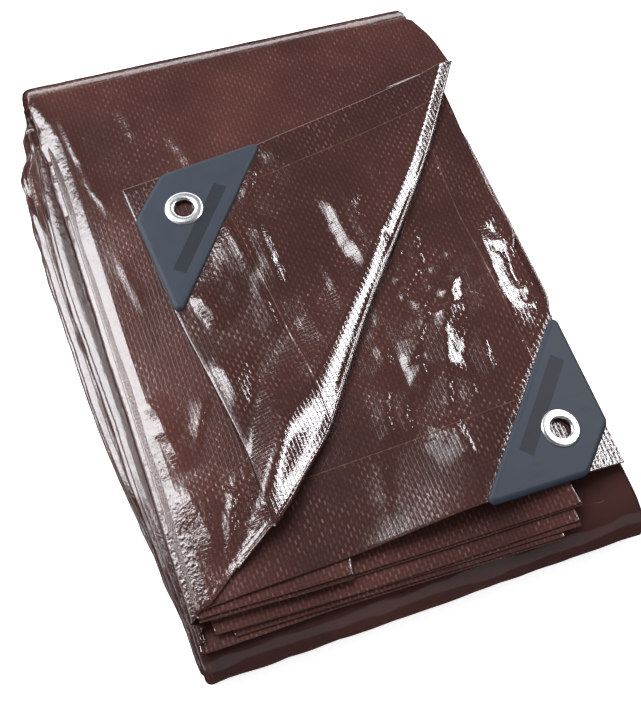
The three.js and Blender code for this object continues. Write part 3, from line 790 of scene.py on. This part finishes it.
LAID_ROWS = 150
ROLL_STEPS = 14
LAID_COLUMNS = 74
LAID_HEM_DROP = 0.8
SIDE_EDGE_BENDS_AT = 84.5
LONG_DIRECTION = unit(LAID_LEG_TURN, -1)
SHORT_DIRECTION = unit(1, LAID_LEG_TURN)
CORNER = np.array([LAID_CORNER["x"], LAID_CORNER["y"]])
SHORT_END = CORNER + SHORT_DIRECTION * SIDE_EDGE_BENDS_AT
SHORT_END_SLANT = 0.384
LAID_FRONT_EDGE = rows_of("share x y", [
    (0.0, -66.0, -142.0),
    (0.17, -65.5, -108.0),
    (0.4, -71.0, -52.0),
    (0.62, -78.4, 3.3),
    (1.0, -85.5, 95.0),
])


def laid_side_edge(slant):
    """Where a row of the laid corner ends on its side edge."""
    near = CORNER + (SHORT_END - CORNER) * (slant / SHORT_END_SLANT)
    far = SHORT_END + (SLANT_END - SHORT_END) * ((slant - SHORT_END_SLANT) / (1 - SHORT_END_SLANT))
    return near if slant <= SHORT_END_SLANT else far


def beyond_piece(x, y):
    """Distance on the laid corner from the slanted side of its corner piece."""
    long = (x - CORNER[0]) * LONG_DIRECTION[0] + (y - CORNER[1]) * LONG_DIRECTION[1]
    short = (x - CORNER[0]) * SHORT_DIRECTION[0] + (y - CORNER[1]) * SHORT_DIRECTION[1]
    return (long / LEG_LONG + short / LEG_SHORT - 1) * LEG_LONG * LEG_SHORT / math.hypot(LEG_LONG, LEG_SHORT)


def laid_row(slant, shares, bow):
    """One row of the laid corner, from the root of the fold over its roll to the free edge: its points, their
    place on the weave and their distances from the hems."""
    root, radius = fold_root(np.array(slant))
    radius = float(radius)
    angles = np.linspace(0, math.pi, ROLL_STEPS + 1)
    roll = np.tile(root, (ROLL_STEPS + 1, 1))
    roll[:, :2] += SLANT_OUT * (radius * np.sin(angles))[:, None]
    roll[:, 2] += radius * (1 - np.cos(angles))

    line = slant_line(np.array(slant)) - SLANT_OUT * radius
    side = laid_side_edge(slant)
    flat = line + (side - line) * shares[:, None] + bow * (1 - slant)
    away = np.maximum((line - flat) @ SLANT_OUT, 0)
    shoulder = float(table(SLANT_LINE, "shoulder", "slant", np.array(slant)))
    reach = float(table(SLANT_LINE, "reach", "slant", np.array(slant)))
    ramp = away / reach
    lifted = root[2] + 2 * radius + shoulder * ramp / (1 + ramp**6) ** (1 / 6)
    to_corner = np.hypot(*(flat - CORNER).T)
    rest = TOP_HEIGHT + mix(LAID_CORNER["lift"], LAID_MIDDLE_LIFT, smooth((to_corner - 95) / 70))
    fall = smooth((away - 0.85 * reach) / (reach * 2.2))
    near_front = (1 - smooth(slant / 0.12)) * smooth((to_corner - 110) / 70)
    z = mix(lifted, rest, fall * (1 - 0.35 * near_front))
    laid = np.concatenate([flat, z[:, None]], -1)

    arc = radius * (angles - math.pi)
    on_sheet = np.concatenate([line + SLANT_OUT * -arc[:, None], flat])
    across_sheet = np.array([-SHORT_DIRECTION, -LONG_DIRECTION])
    weave = np.concatenate([on_sheet @ across_sheet.T, np.zeros((len(on_sheet), 1))], -1)
    start, end = (CORNER, SHORT_END) if slant <= SHORT_END_SLANT else (SHORT_END, SLANT_END)
    direction = end - start
    to_side = (on_sheet - start) @ unit(direction[1], -direction[0])
    to_front = on_sheet[:, 0] - np.interp(on_sheet[:, 1], LAID_HEM_LINE["y"], LAID_HEM_LINE["x"])
    return np.concatenate([roll, laid]), weave, np.stack([to_side, to_front], -1)


def laid_corner():
    """The corner that the slanted fold lays back: the fold's roll and the cloth from it to the free edges."""
    shares = np.linspace(0, 1, LAID_COLUMNS + 1)[1:]
    shares = mix(shares, shares**1.5, 0.6)
    edge = np.stack([table(LAID_FRONT_EDGE, key, "share", shares) for key in ("x", "y")], -1)
    bow = edge - mix(SLANT_START, CORNER, shares[:, None])
    rows = [laid_row(slant, shares, bow) for slant in np.linspace(0, 1, LAID_ROWS + 1)]
    points, weave, hems = (np.stack(values) for values in zip(*rows))
    x, y = points[..., 0], points[..., 1]
    plate = smooth((beyond_piece(x, y) + 1) / 9)
    roll_fade = smooth((np.arange(points.shape[1]) - ROLL_STEPS) / 6.0)[None, :]
    swell = swells(LAID_SWELLS, x, y) + crease_height(LAID_CREASES, x, y)
    swell = swell * plate * roll_fade + 0.25 * (1 - roll_fade) * ripple(x, y, 12.0, 66)
    points[..., 2] += swell
    hem = turned_under(points[:, -1], points[:, -3] - points[:, -1], HEM_UNDER, LAID_HEM_DROP)
    points = np.concatenate([points, np.stack(hem, 1)], 1)
    weave = np.concatenate([weave, np.repeat(weave[:, -1:], len(hem), 1)], 1)
    hems = np.concatenate([hems, np.repeat(hems[:, -1:], len(hem), 1)], 1)
    front = turned_under(points[0], points[2] - points[0], HEM_UNDER[:3], LAID_HEM_DROP)
    points = np.concatenate([np.stack(front[::-1]), points])
    weave = np.concatenate([np.repeat(weave[:1], len(front), 0), weave])
    hems = np.concatenate([np.repeat(hems[:1], len(front), 0), hems])
    beyond = beyond_piece(points[..., 0], points[..., 1])
    patchy = ripple(points[..., 0], points[..., 1], 25.0, 71)
    worn = WORN_EVERYWHERE + 0.75 * np.exp(-np.abs(beyond - 5) / 7) + 0.15 * patchy
    return sheet_mesh("tarp_laid_corner", points, weave, hems, worn)


# Corner pieces and eyelets, in a local frame: X along the long leg, Y along the short leg, Z out of the cloth


PIECE_HALF = 2.5
PIECE_RIM = 1.3
CUT_CORNER = 27.0
CUT_BLEND = 8.0
TIP_RADIUS = 3.2
EYELET_IN = 28.0
EYELET_HOLE = 5.9
EYELET_SIDES = 72
HOLE_MARGIN = 1.3
LONGEST_EDGE = 12


def local_frame(corner, long, short):
    """Matrix in metres of a corner piece: its corner, and the directions of its two legs."""
    long = Vector(long).normalized()
    out = long.cross(Vector(short)).normalized()
    square = out.cross(long)
    corner = (np.array(corner) + ORIGIN) * MM
    matrix = np.eye(4)
    matrix[:3, 0], matrix[:3, 1], matrix[:3, 2], matrix[:3, 3] = long, square, out, corner
    return matrix


def rounded_corner(before, corner, after, radius, steps=5):
    """Points of an arc that rounds one corner of an outline."""
    a, c, b = (np.array(p, float) for p in (before, corner, after))
    to_a, to_b = (a - c) / np.linalg.norm(a - c), (b - c) / np.linalg.norm(b - c)
    half = math.acos(np.clip(to_a @ to_b, -1, 1)) / 2
    length = radius / math.tan(half)
    start, end = c + to_a * length, c + to_b * length
    centre = c + (to_a + to_b) / np.linalg.norm(to_a + to_b) * radius / math.sin(half)
    turn = [math.atan2(*(p - centre)[::-1]) for p in (start, end)]
    sweep = (turn[1] - turn[0] + math.pi) % (2 * math.pi) - math.pi
    angles = [turn[0] + sweep * k / steps for k in range(steps + 1)]
    return [centre + radius * np.array([math.cos(t), math.sin(t)]) for t in angles]


def piece_outline():
    """Outline of a corner piece: two legs, a cut-off corner with soft ends, and the slanted side."""
    rim = -PIECE_RIM
    corners = [
        ((LEG_LONG + 7, rim), TIP_RADIUS),
        ((rim, LEG_SHORT + 7), TIP_RADIUS),
        ((rim, CUT_CORNER - 3), CUT_BLEND),
        ((CUT_CORNER - 3, rim), CUT_BLEND),
    ]
    points = []
    for i, (corner, radius) in enumerate(corners):
        before, after = corners[i - 1][0], corners[(i + 1) % len(corners)][0]
        points += rounded_corner(before, corner, after, radius)
    return np.array(points)


def unit_rows(vectors):
    return vectors / np.linalg.norm(vectors, axis=1)[:, None]


def inset_outline(outline, distance):
    """An outline moved inwards by a distance."""
    ahead = np.roll(outline, -1, 0) - outline
    behind = outline - np.roll(outline, 1, 0)
    tangent = unit_rows(unit_rows(ahead) + unit_rows(behind))
    inward = np.stack([-tangent[:, 1], tangent[:, 0]], -1)
    return outline + inward * distance


EDGE_PROFILE = rows_of("in z", [
    (0.0, 0.0),
    (0.1, 0.35),
    (0.5, 0.58),
    (1.5, 0.86),
    (2.4, 0.98),
    (3.0, 1.0),
    (3.3, 1.0),
])


def moulded(name, mesh, points):
    """A smooth piece whose material reads the place in the piece's own frame."""
    keep_values(mesh, "mould", points)
    mesh.polygons.foreach_set("use_smooth", [True] * len(mesh.polygons))
    mesh.update()
    return placed(name, mesh)


def fill_faces(mesh, faces):
    """Fills each flat face of a mesh between its outer loop of points and the loop round its hole."""
    bm = bmesh.new()
    bm.from_mesh(mesh)
    bm.verts.ensure_lookup_table()
    for loops in faces:
        edges = []
        for loop in loops:
            corners = [bm.verts[n] for n in loop]
            for a, b in zip(corners, corners[1:] + corners[:1]):
                edges.append(bm.edges.get((a, b)) or bm.edges.new((a, b)))
        bmesh.ops.triangle_fill(bm, use_beauty=True, use_dissolve=False, edges=edges)
    long_edges = [edge for edge in bm.edges if edge.calc_length() > LONGEST_EDGE]
    bmesh.ops.subdivide_edges(bm, edges=long_edges, cuts=2, use_grid_fill=False)
    bmesh.ops.triangulate(bm, faces=[face for face in bm.faces if len(face.verts) > 4])
    bmesh.ops.recalc_face_normals(bm, faces=bm.faces)
    bm.to_mesh(mesh)
    bm.free()


def corner_piece(name, matrix, bend):
    """A moulded corner piece with rounded edges and the hole for its eyelet."""
    outline = piece_outline()
    vertices, faces = [], []
    count = len(outline)
    for face in (1, -1):
        for row in EDGE_PROFILE:
            ring = inset_outline(outline, row["in"])
            vertices += [(x, y, face * row["z"] * PIECE_HALF) for x, y in ring]
    rings = len(EDGE_PROFILE)
    for side in (0, 1):
        base = side * rings * count
        for r in range(rings - 1):
            for k in range(count):
                a, b = base + r * count + k, base + r * count + (k + 1) % count
                quad = [a, b, b + count, a + count]
                faces.append(quad if side == 0 else quad[::-1])
    for k in range(count):
        a, b = k, (k + 1) % count
        faces.append([b, a, rings * count + a, rings * count + b])
    hole_start = len(vertices)
    hole_sides = EYELET_SIDES // 2
    angles = np.linspace(0, 2 * math.pi, hole_sides, endpoint=False)
    radius = EYELET_HOLE + HOLE_MARGIN
    for face in (1, -1):
        circle = [(EYELET_IN + radius * math.cos(a), EYELET_IN + radius * math.sin(a)) for a in angles]
        vertices += [(x, y, face * PIECE_HALF) for x, y in circle]
    wall_start = len(vertices)
    vertices += vertices[hole_start:]
    for k in range(hole_sides):
        a, b = wall_start + k, wall_start + (k + 1) % hole_sides
        faces.append([a, b, b + hole_sides, a + hole_sides])
    mesh = bpy.data.meshes.new(name)
    mesh.from_pydata(vertices, [], faces)
    flat_faces = []
    for side in (0, 1):
        ring = [side * rings * count + (rings - 1) * count + k for k in range(count)]
        hole = [hole_start + side * hole_sides + k for k in range(hole_sides)]
        flat_faces.append((ring, hole))
    fill_faces(mesh, flat_faces)
    points = np.array([v.co for v in mesh.vertices])
    points[:, 2] += bend(points[:, 0], points[:, 1])
    place = points * MM @ matrix[:3, :3].T + matrix[:3, 3]
    mesh.vertices.foreach_set("co", place.astype(np.float32).ravel())
    return moulded(name, mesh, points)


FLANGE_PROFILE = rows_of("r z", [
    (11.4, 0.0),
    (11.35, 0.45),
    (11.05, 0.8),
    (10.5, 1.05),
    (9.6, 1.2),
    (8.4, 1.28),
    (7.4, 1.22),
    (6.6, 1.0),
    (6.1, 0.55),
    (5.9, -0.2),
])


def eyelet(name, matrix, height):
    """A rolled metal eyelet: a rounded flange over each face and the barrel between them."""
    profile = [(row["r"], height + row["z"]) for row in FLANGE_PROFILE]
    profile += [(r, -z) for r, z in profile[::-1]]
    vertices, faces = [], []
    for k in range(EYELET_SIDES):
        angle = 2 * math.pi * k / EYELET_SIDES
        cos, sin = math.cos(angle), math.sin(angle)
        vertices += [(EYELET_IN + r * cos, EYELET_IN + r * sin, z) for r, z in profile]
    count = len(profile)
    for k in range(EYELET_SIDES):
        for j in range(count):
            a, b = k * count + j, k * count + (j + 1) % count
            step = ((k + 1) % EYELET_SIDES - k) * count
            faces.append([a, b, b + step, a + step])
    points = np.array(vertices)
    place = points * MM @ matrix[:3, :3].T + matrix[:3, 3]
    mesh = bpy.data.meshes.new(name)
    mesh.from_pydata(place.tolist(), [], faces)
    return moulded(name, mesh, points)


# Materials


class Shade:
    """A value or colour in a material's node tree. Arithmetic on it adds Math nodes."""

    def __init__(self, finish, socket):
        self.finish, self.socket = finish, socket

    def math(self, operation, *others):
        node = self.finish.tree.nodes.new("ShaderNodeMath")
        node.operation = operation
        for place, value in zip(node.inputs, (self, *others)):
            self.finish.put(place, value)
        return Shade(self.finish, node.outputs[0])

    def __add__(self, other):
        return self.math("ADD", other)

    def __radd__(self, other):
        return self.math("ADD", other)

    def __sub__(self, other):
        return self.math("SUBTRACT", other)

    def __rsub__(self, other):
        return self.math("MULTIPLY_ADD", -1, other)

    def __mul__(self, other):
        return self.math("MULTIPLY", other)

    def __rmul__(self, other):
        return self.math("MULTIPLY", other)

    def __truediv__(self, other):
        return self.math("DIVIDE", other)

    def __rtruediv__(self, other):
        return self.math("POWER", -1) * other

    def __abs__(self):
        return self.math("ABSOLUTE")

    def floor(self):
        return self.math("FLOOR")

    def above(self, other):
        return self.math("GREATER_THAN", other)

    def at_least(self, other):
        return self.math("MAXIMUM", other)

    def at_most(self, other):
        return self.math("MINIMUM", other)

    def rise(self, start, end):
        """0 below start, 1 above end, and smooth between them."""
        return self.finish.node(
            "ShaderNodeMapRange", {"interpolation_type": "SMOOTHSTEP"},
            {"Value": self, "From Min": start, "From Max": end, "To Min": 0, "To Max": 1})


class Finish:
    """A material and its node tree."""

    def __init__(self, name):
        self.material = bpy.data.materials.new(name)
        self.material.use_nodes = True
        self.tree = self.material.node_tree
        self.tree.nodes.clear()

    def put(self, socket, value):
        if isinstance(value, Shade):
            self.tree.links.new(value.socket, socket)
        elif hasattr(value, "__len__") and len(value) == 3 and socket.type == "RGBA":
            socket.default_value = (*value, 1.0)
        else:
            socket.default_value = value

    def node(self, kind, settings=None, values=None, output=0):
        node = self.tree.nodes.new(kind)
        for key, value in (settings or {}).items():
            setattr(node, key, value)
        for key, value in (values or {}).items():
            self.put(node.inputs[key], value)
        return Shade(self, node.outputs[output]) if node.outputs else None

    def attribute(self, name):
        return self.node("ShaderNodeAttribute", {"attribute_name": name}, output="Vector")

    def parts(self, vector):
        split = self.node("ShaderNodeSeparateXYZ", None, {"Vector": vector})
        return [Shade(self, socket) for socket in split.socket.node.outputs]

    def vector(self, x, y, z=0.0):
        return self.node("ShaderNodeCombineXYZ", None, {"X": x, "Y": y, "Z": z})

    def noise(self, vector, scale, detail=2.0, roughness=0.5):
        values = {"Vector": vector, "Scale": scale, "Detail": detail, "Roughness": roughness}
        return self.node("ShaderNodeTexNoise", None, values)

    def blend(self, share, a, b):
        return self.node(
            "ShaderNodeMix", {"data_type": "RGBA", "clamp_factor": True},
            {0: share, 6: a, 7: b}, output=2)

    def bump(self, height, distance):
        return self.node("ShaderNodeBump", None, {"Strength": 1.0, "Distance": distance, "Height": height})

    def surface(self, values):
        shader = self.node("ShaderNodeBsdfPrincipled", None, values)
        self.node("ShaderNodeOutputMaterial", None, {"Surface": shader})
        return self.material


# The width of one tape, the colours of the film, and where the painted shade beside the free side edge ends
TAPE = 2.45
DARK_BROWN = (0.062, 0.0270, 0.0235)
BROWN = (0.108, 0.0430, 0.0350)
RED_BROWN = (0.094, 0.0370, 0.0300)
DARK_RED_BROWN = (0.062, 0.027, 0.023)
GROOVE_SHADE_BROWN = (0.02, 0.009, 0.008)
SHADED_BROWN = (0.030, 0.016, 0.015)
PLAIN_SHADE_BROWN = (0.020, 0.010, 0.010)
STITCH_TAN = (0.20, 0.10, 0.075)
DASH_GLINT_TAN = (0.36, 0.20, 0.17)
SHADED_SIDE = (180, 220)
FILM_ROUGHNESS = 0.085


def woven_film(name, tone_low, tone_high):
    """Film-coated woven tape. Warp tapes cross over the weft in staggered raised dashes, and tapes meet in
    shallow grooves. Hems are doubled, with a line of stitches, and the whole film is finely crinkled."""
    f = Finish(name)
    place = f.attribute("weave")
    across, along, plain_and_shade = f.parts(place)
    woven = 1 - plain_and_shade
    side, front, worn = f.parts(f.attribute("hems"))
    in_side_hem = 1 - side.rise(SIDE_HEM - 0.8, SIDE_HEM + 0.3)
    in_front_hem = 1 - front.rise(FRONT_HEM - 0.8, FRONT_HEM + 0.3)
    doubled = in_side_hem.at_least(in_front_hem)
    u = (across + f.noise(place, 0.03, 2.0) * 1.5) / TAPE
    v = (along + f.noise(f.vector(along, across), 0.06, 2.0) * 1.5) / TAPE
    warp = u.floor()
    crossing = (v + warp) * 0.5
    from_middle = abs(u - warp - 0.5)
    from_dash = abs(crossing - crossing.floor() - 0.5) * 2
    luck = f.node("ShaderNodeTexWhiteNoise", {"noise_dimensions": "2D"},
                  {"Vector": f.vector(warp, crossing.floor())})
    regional = f.noise(place, 0.024, 3.0, 0.6).rise(0.38, 0.62)
    longer = doubled * 0.2
    dash = (1 - from_middle.rise(0.05, 0.24)) * (1 - from_dash.rise(longer + 0.14, longer + 0.46))
    warp_gap = from_middle.rise(0.34, 0.5)
    weft_gap = abs(v - v.floor() - 0.5).rise(0.34, 0.5) * (1 - dash)
    gaps = warp_gap.at_least(weft_gap)
    relief = (dash * (luck * 0.75 + 0.15) * (regional * 0.75 + 0.2) * 0.66 - gaps * 0.3) * woven

    from_seam = abs(side - SIDE_HEM).at_most(abs(front - FRONT_HEM))
    seam = 1 - from_seam.rise(0.0, 0.9)
    crinkle = f.noise(f.vector(across * 0.2, along * 0.13), 1.0, 3.0, 0.6)
    fine_crinkle = f.noise(f.vector(across * 0.42, along * 0.3), 1.0, 2.0, 0.55)
    cracks = abs(f.noise(f.vector(across * 0.1, along * 0.16), 1.0, 4.0, 0.6) - 0.5).rise(0.0, 0.02)
    film = crinkle * 1.15 + fine_crinkle * (worn * 5.0 + 0.15) + cracks * 0.12
    normal = f.bump(relief + film + doubled * 0.4 - seam * 0.5, 0.0001)

    tone = f.noise(place, 0.012, 3.0, 0.55).rise(0.3, 0.7)
    base = f.blend(tone, tone_low, tone_high)
    base = f.blend(doubled * 0.18, base, DARK_BROWN)
    # Painted shade: the grooves between the tapes are darkened
    base = f.blend(gaps * woven * 0.4, base, GROOVE_SHADE_BROWN)
    # Painted shade: the film darkens within about 200 mm of its free side edge, on the second layer and the
    # laid corner
    base = f.blend((1 - side.rise(*SHADED_SIDE)) * 0.36, base, SHADED_BROWN)
    stitches = (1 - from_seam.rise(0.12, 0.4)) * (luck * 0.5 + 0.3)
    base = f.blend(stitches * 0.8, base, STITCH_TAN)
    # Painted shade: the plain parts (the side folds, the outer face below the flap with the front wrap, and
    # the top beside the left fold) are darkened
    base = f.blend(plain_and_shade * 0.55, base, PLAIN_SHADE_BROWN)
    # Painted glint: the raised dashes are lightened towards tan
    base = f.blend(dash * woven * luck * 0.45 * (regional * 0.8 + 0.2), base, DASH_GLINT_TAN)
    return f.surface({
        "Base Color": base,
        "Roughness": FILM_ROUGHNESS,
        "Normal": normal,
        "IOR": 1.5,
    })


SLATE_LOW = (0.018, 0.026, 0.040)
SLATE_HIGH = (0.029, 0.041, 0.062)
PANEL_SLATE = (0.004, 0.006, 0.010)
SCUFF_GREY = (0.05, 0.055, 0.065)

# The darker panel: how far the slanted side lies from the corner, the panel's distance from that side and its
# shift along it, and where its half width and half length end
SLANT_DEPTH = 60.6
PANEL_IN = 7.2
PANEL_OFFSET = 11
PANEL_WIDTH_EDGE = (3.9, 4.3)
PANEL_LENGTH_EDGE = (32, 32.5)


def moulded_plastic():
    """Slate grey moulded plastic with a fine grain, faint scuffs and a bare darker panel."""
    f = Finish("slate_plastic")
    place = f.attribute("mould")
    along, across, out = f.parts(place)
    grain = f.noise(place, 2.2, 4.0, 0.6)
    cloud = f.noise(place, 0.05, 3.0, 0.55)
    scuff = f.noise(f.vector(along * 0.9, across * 0.12, out), 0.6, 4.0, 0.65).rise(0.56, 0.72)
    from_slant = (along / LEG_LONG + across / LEG_SHORT - 1) * -SLANT_DEPTH
    lengthwise = (along * LEG_LONG - across * LEG_SHORT) / math.hypot(LEG_LONG, LEG_SHORT)
    panel_width = 1 - abs(from_slant - PANEL_IN).rise(*PANEL_WIDTH_EDGE)
    panel_length = 1 - abs(lengthwise - PANEL_OFFSET).rise(*PANEL_LENGTH_EDGE)
    panel = panel_width * panel_length * out.above(0)
    base = f.blend(cloud, SLATE_LOW, SLATE_HIGH)
    base = f.blend(panel * 0.8, base, PANEL_SLATE)
    base = f.blend(scuff * 0.2, base, SCUFF_GREY)
    height = grain * 0.25 - panel * 0.8 + scuff * 0.2
    return f.surface({
        "Base Color": base,
        "Roughness": 0.54 + cloud * 0.1 + scuff * 0.08,
        "Specular IOR Level": 0.2,
        "Normal": f.bump(height, 0.00012),
        "IOR": 1.5,
    })


METAL_LOW = (0.70, 0.70, 0.71)
METAL_HIGH = (0.88, 0.88, 0.885)
BARREL_SHADE_BROWN = (0.05, 0.045, 0.042)


def bright_metal():
    """Rolled aluminium with faint turning marks, and painted shade inside its barrel."""
    f = Finish("bright_aluminium")
    place = f.attribute("mould")
    along, across, out = f.parts(place)
    x, y = along - EYELET_IN, across - EYELET_IN
    radius = (x * x + y * y).math("SQRT")
    rings = f.noise(f.vector(radius * 3.0, out * 3.0), 1.0, 2.0)
    specks = f.noise(place, 0.9, 3.0, 0.6)
    base = f.blend(specks, METAL_LOW, METAL_HIGH)
    # Painted shade: the inside of the barrel is darkened
    barrel_shade = 1 - radius.rise(6.0, 6.25)
    base = f.blend(barrel_shade * 0.9, base, BARREL_SHADE_BROWN)
    return f.surface({
        "Base Color": base,
        "Metallic": 1.0,
        "Roughness": 0.2 + rings * 0.12 + specks * 0.08,
        "Normal": f.bump(rings * 0.5 + specks * 0.5, 0.00004),
    })


def pale_floor():
    f = Finish("pale_floor")
    place = f.node("ShaderNodeTexCoord", None, None, output="Object")
    cloud = f.noise(place, 1.5, 2.0)
    tone = f.blend(cloud, (0.93, 0.93, 0.94), (0.95, 0.95, 0.955))
    return f.surface({
        "Base Color": tone,
        "Roughness": 0.75,
        "IOR": 1.3,
        "Emission Color": (1.0, 1.0, 1.0),
        "Emission Strength": 0.75,
    })


# Camera: the photograph's viewing angle

TARGET = np.array([-6.78, -37.33, 25.0])
ELEVATION = math.radians(60.0)
AZIMUTH = math.radians(-18.5)
CAMERA_DISTANCE = 1008.58
FOCAL_PIXELS = 1751.4
FRAME_HEIGHT = 720
SENSOR = 36.0


def add_camera():
    back = np.array([
        math.sin(AZIMUTH) * math.cos(ELEVATION),
        -math.cos(AZIMUTH) * math.cos(ELEVATION),
        math.sin(ELEVATION),
    ])
    data = bpy.data.cameras.new("camera")
    data.sensor_fit = "AUTO"
    data.sensor_width = SENSOR
    data.lens = FOCAL_PIXELS * SENSOR / FRAME_HEIGHT
    data.clip_start, data.clip_end = 0.05, 20.0
    camera = placed("camera", data)
    camera.location = Vector((TARGET + ORIGIN + back * CAMERA_DISTANCE) * MM)
    camera.rotation_mode = "QUATERNION"
    camera.rotation_quaternion = Vector(-back).to_track_quat("-Z", "Y")
    bpy.context.scene.camera = camera


COOL_WHITE = (0.96, 0.965, 1.0)
STUDIO_AIR = (0.95, 0.97, 1.0)
FLOOR_HALF = 12.0


def softbox(name, start, end, width, distance, brightness, seen_by):
    """A long rectangular light that spans two directions from the packet and faces it."""
    start, end = Vector(start).normalized() * distance, Vector(end).normalized() * distance
    middle = (start + end) / 2
    long_side = (end - start).normalized()
    facing = middle.normalized()
    short_side = facing.cross(long_side).normalized()
    long_side = short_side.cross(facing)
    light = bpy.data.lights.new(name, "AREA")
    light.shape = "RECTANGLE"
    light.size, light.size_y = (end - start).length, width
    light.color = COOL_WHITE
    light.energy = brightness * math.pi * light.size * light.size_y
    lamp = placed(name, light)
    turn = Matrix((long_side, short_side, facing)).transposed().to_4x4()
    lamp.matrix_world = Matrix.Translation(middle) @ turn
    lamp.visible_camera = False
    lamp.visible_diffuse = seen_by != "gloss"
    lamp.visible_glossy = seen_by != "diffuse"


# Lights: the two directions that each one spans, its width and distance in metres, its brightness, and
# whether it lights the gloss or the colours
LIGHTS = rows_of("name start end width distance brightness seen_by", [
    ("left_window", (-0.22, 0.47, 0.85), (-0.84, 0.4, 0.28), 0.5, 1.6, 18, "gloss"),
    ("left_wing", (-0.05, 0.47, 0.88), (-0.25, 0.47, 0.84), 0.5, 1.6, 4.0, "gloss"),
    ("right_window", (0.66, 0.54, 0.52), (0.665, 0.242, 0.706), 0.24, 1.6, 40, "gloss"),
    ("roll_window", (0.777, 0.224, 0.607), (0.735, -0.107, 0.752), 0.25, 1.6, 42, "gloss"),
    ("left_wall", (-0.9, 0.9, 0.12), (-0.9, -0.9, 0.12), 0.5, 2.2, 3.6, "gloss"),
    ("back_wall", (-0.7, 0.95, 0.14), (1.1, 0.95, 0.14), 0.5, 2.2, 4.5, "gloss"),
    ("front_wall", (-0.6, -0.9, 0.42), (0.9, -0.9, 0.42), 0.9, 1.8, 0.5, "gloss"),
    ("overhead", (-0.7, 0.35, 0.75), (0.2, 0.35, 0.9), 1.4, 2.0, 5.0, "diffuse"),
])


def add_light():
    for light in LIGHTS:
        softbox(**light)
    world = bpy.data.worlds.new("studio")
    bpy.context.scene.world = world
    world.use_nodes = True
    background = world.node_tree.nodes["Background"]
    background.inputs["Color"].default_value = (*STUDIO_AIR, 1.0)
    background.inputs["Strength"].default_value = 0.5
    world.cycles_visibility.glossy = False


def add_floor():
    mesh = bpy.data.meshes.new("floor")
    half = FLOOR_HALF
    corners = [(-half, -half, 0), (half, -half, 0), (half, half, 0), (-half, half, 0)]
    mesh.from_pydata(corners, [], [(0, 1, 2, 3)])
    floor = placed("floor", mesh)
    floor.data.materials.append(pale_floor())
    floor.visible_glossy = False


# Putting it together

add_camera()
add_floor()
add_light()
bpy.context.scene.view_settings.view_transform = "Standard"

brown_film = woven_film("brown_woven_film", DARK_BROWN, BROWN)
red_film = woven_film("red_brown_woven_film", DARK_RED_BROWN, RED_BROWN)
slate = moulded_plastic()
aluminium = bright_metal()

sheet = folded_sheet()
sheet.data.materials.append(brown_film)
laid = laid_corner()
laid.data.materials.append(red_film)

laid_z = TOP_HEIGHT + LAID_CORNER["lift"]
flap_matrix = local_frame([*CORNER, laid_z], [*LONG_DIRECTION, 0], [*SHORT_DIRECTION, 0])


def on_slope(direction):
    """A direction in the plane of the drooping corner."""
    rise = FRONT_SLOPE["x"] * direction[0] + FRONT_SLOPE["y"] * direction[1]
    return [*direction, rise]


front_matrix = local_frame([*CORNER_XY, FRONT_CORNER["z"]], on_slope(LEG_BACK), on_slope(LEG_LEFT))


def flat_bend(x, y):
    """How far the cut corner of a corner piece bows down."""
    return -0.5 * smooth((12 - x) / 30) * smooth((LEG_SHORT - y) / 60)


pieces = {
    "corner_piece_flap": corner_piece("corner_piece_on_flap", flap_matrix, flat_bend),
    "corner_piece_front": corner_piece("corner_piece_at_front", front_matrix, flat_bend),
    "eyelet_flap": eyelet("eyelet_on_flap", flap_matrix, PIECE_HALF),
    "eyelet_front": eyelet("eyelet_at_front", front_matrix, PIECE_HALF),
}
for node, piece in pieces.items():
    metal = node.startswith("eyelet")
    piece.data.materials.append(aluminium if metal else slate)
    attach(piece, "root")
    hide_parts(node)

for piece in (sheet, laid):
    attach(piece, "root")
    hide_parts("tarp")
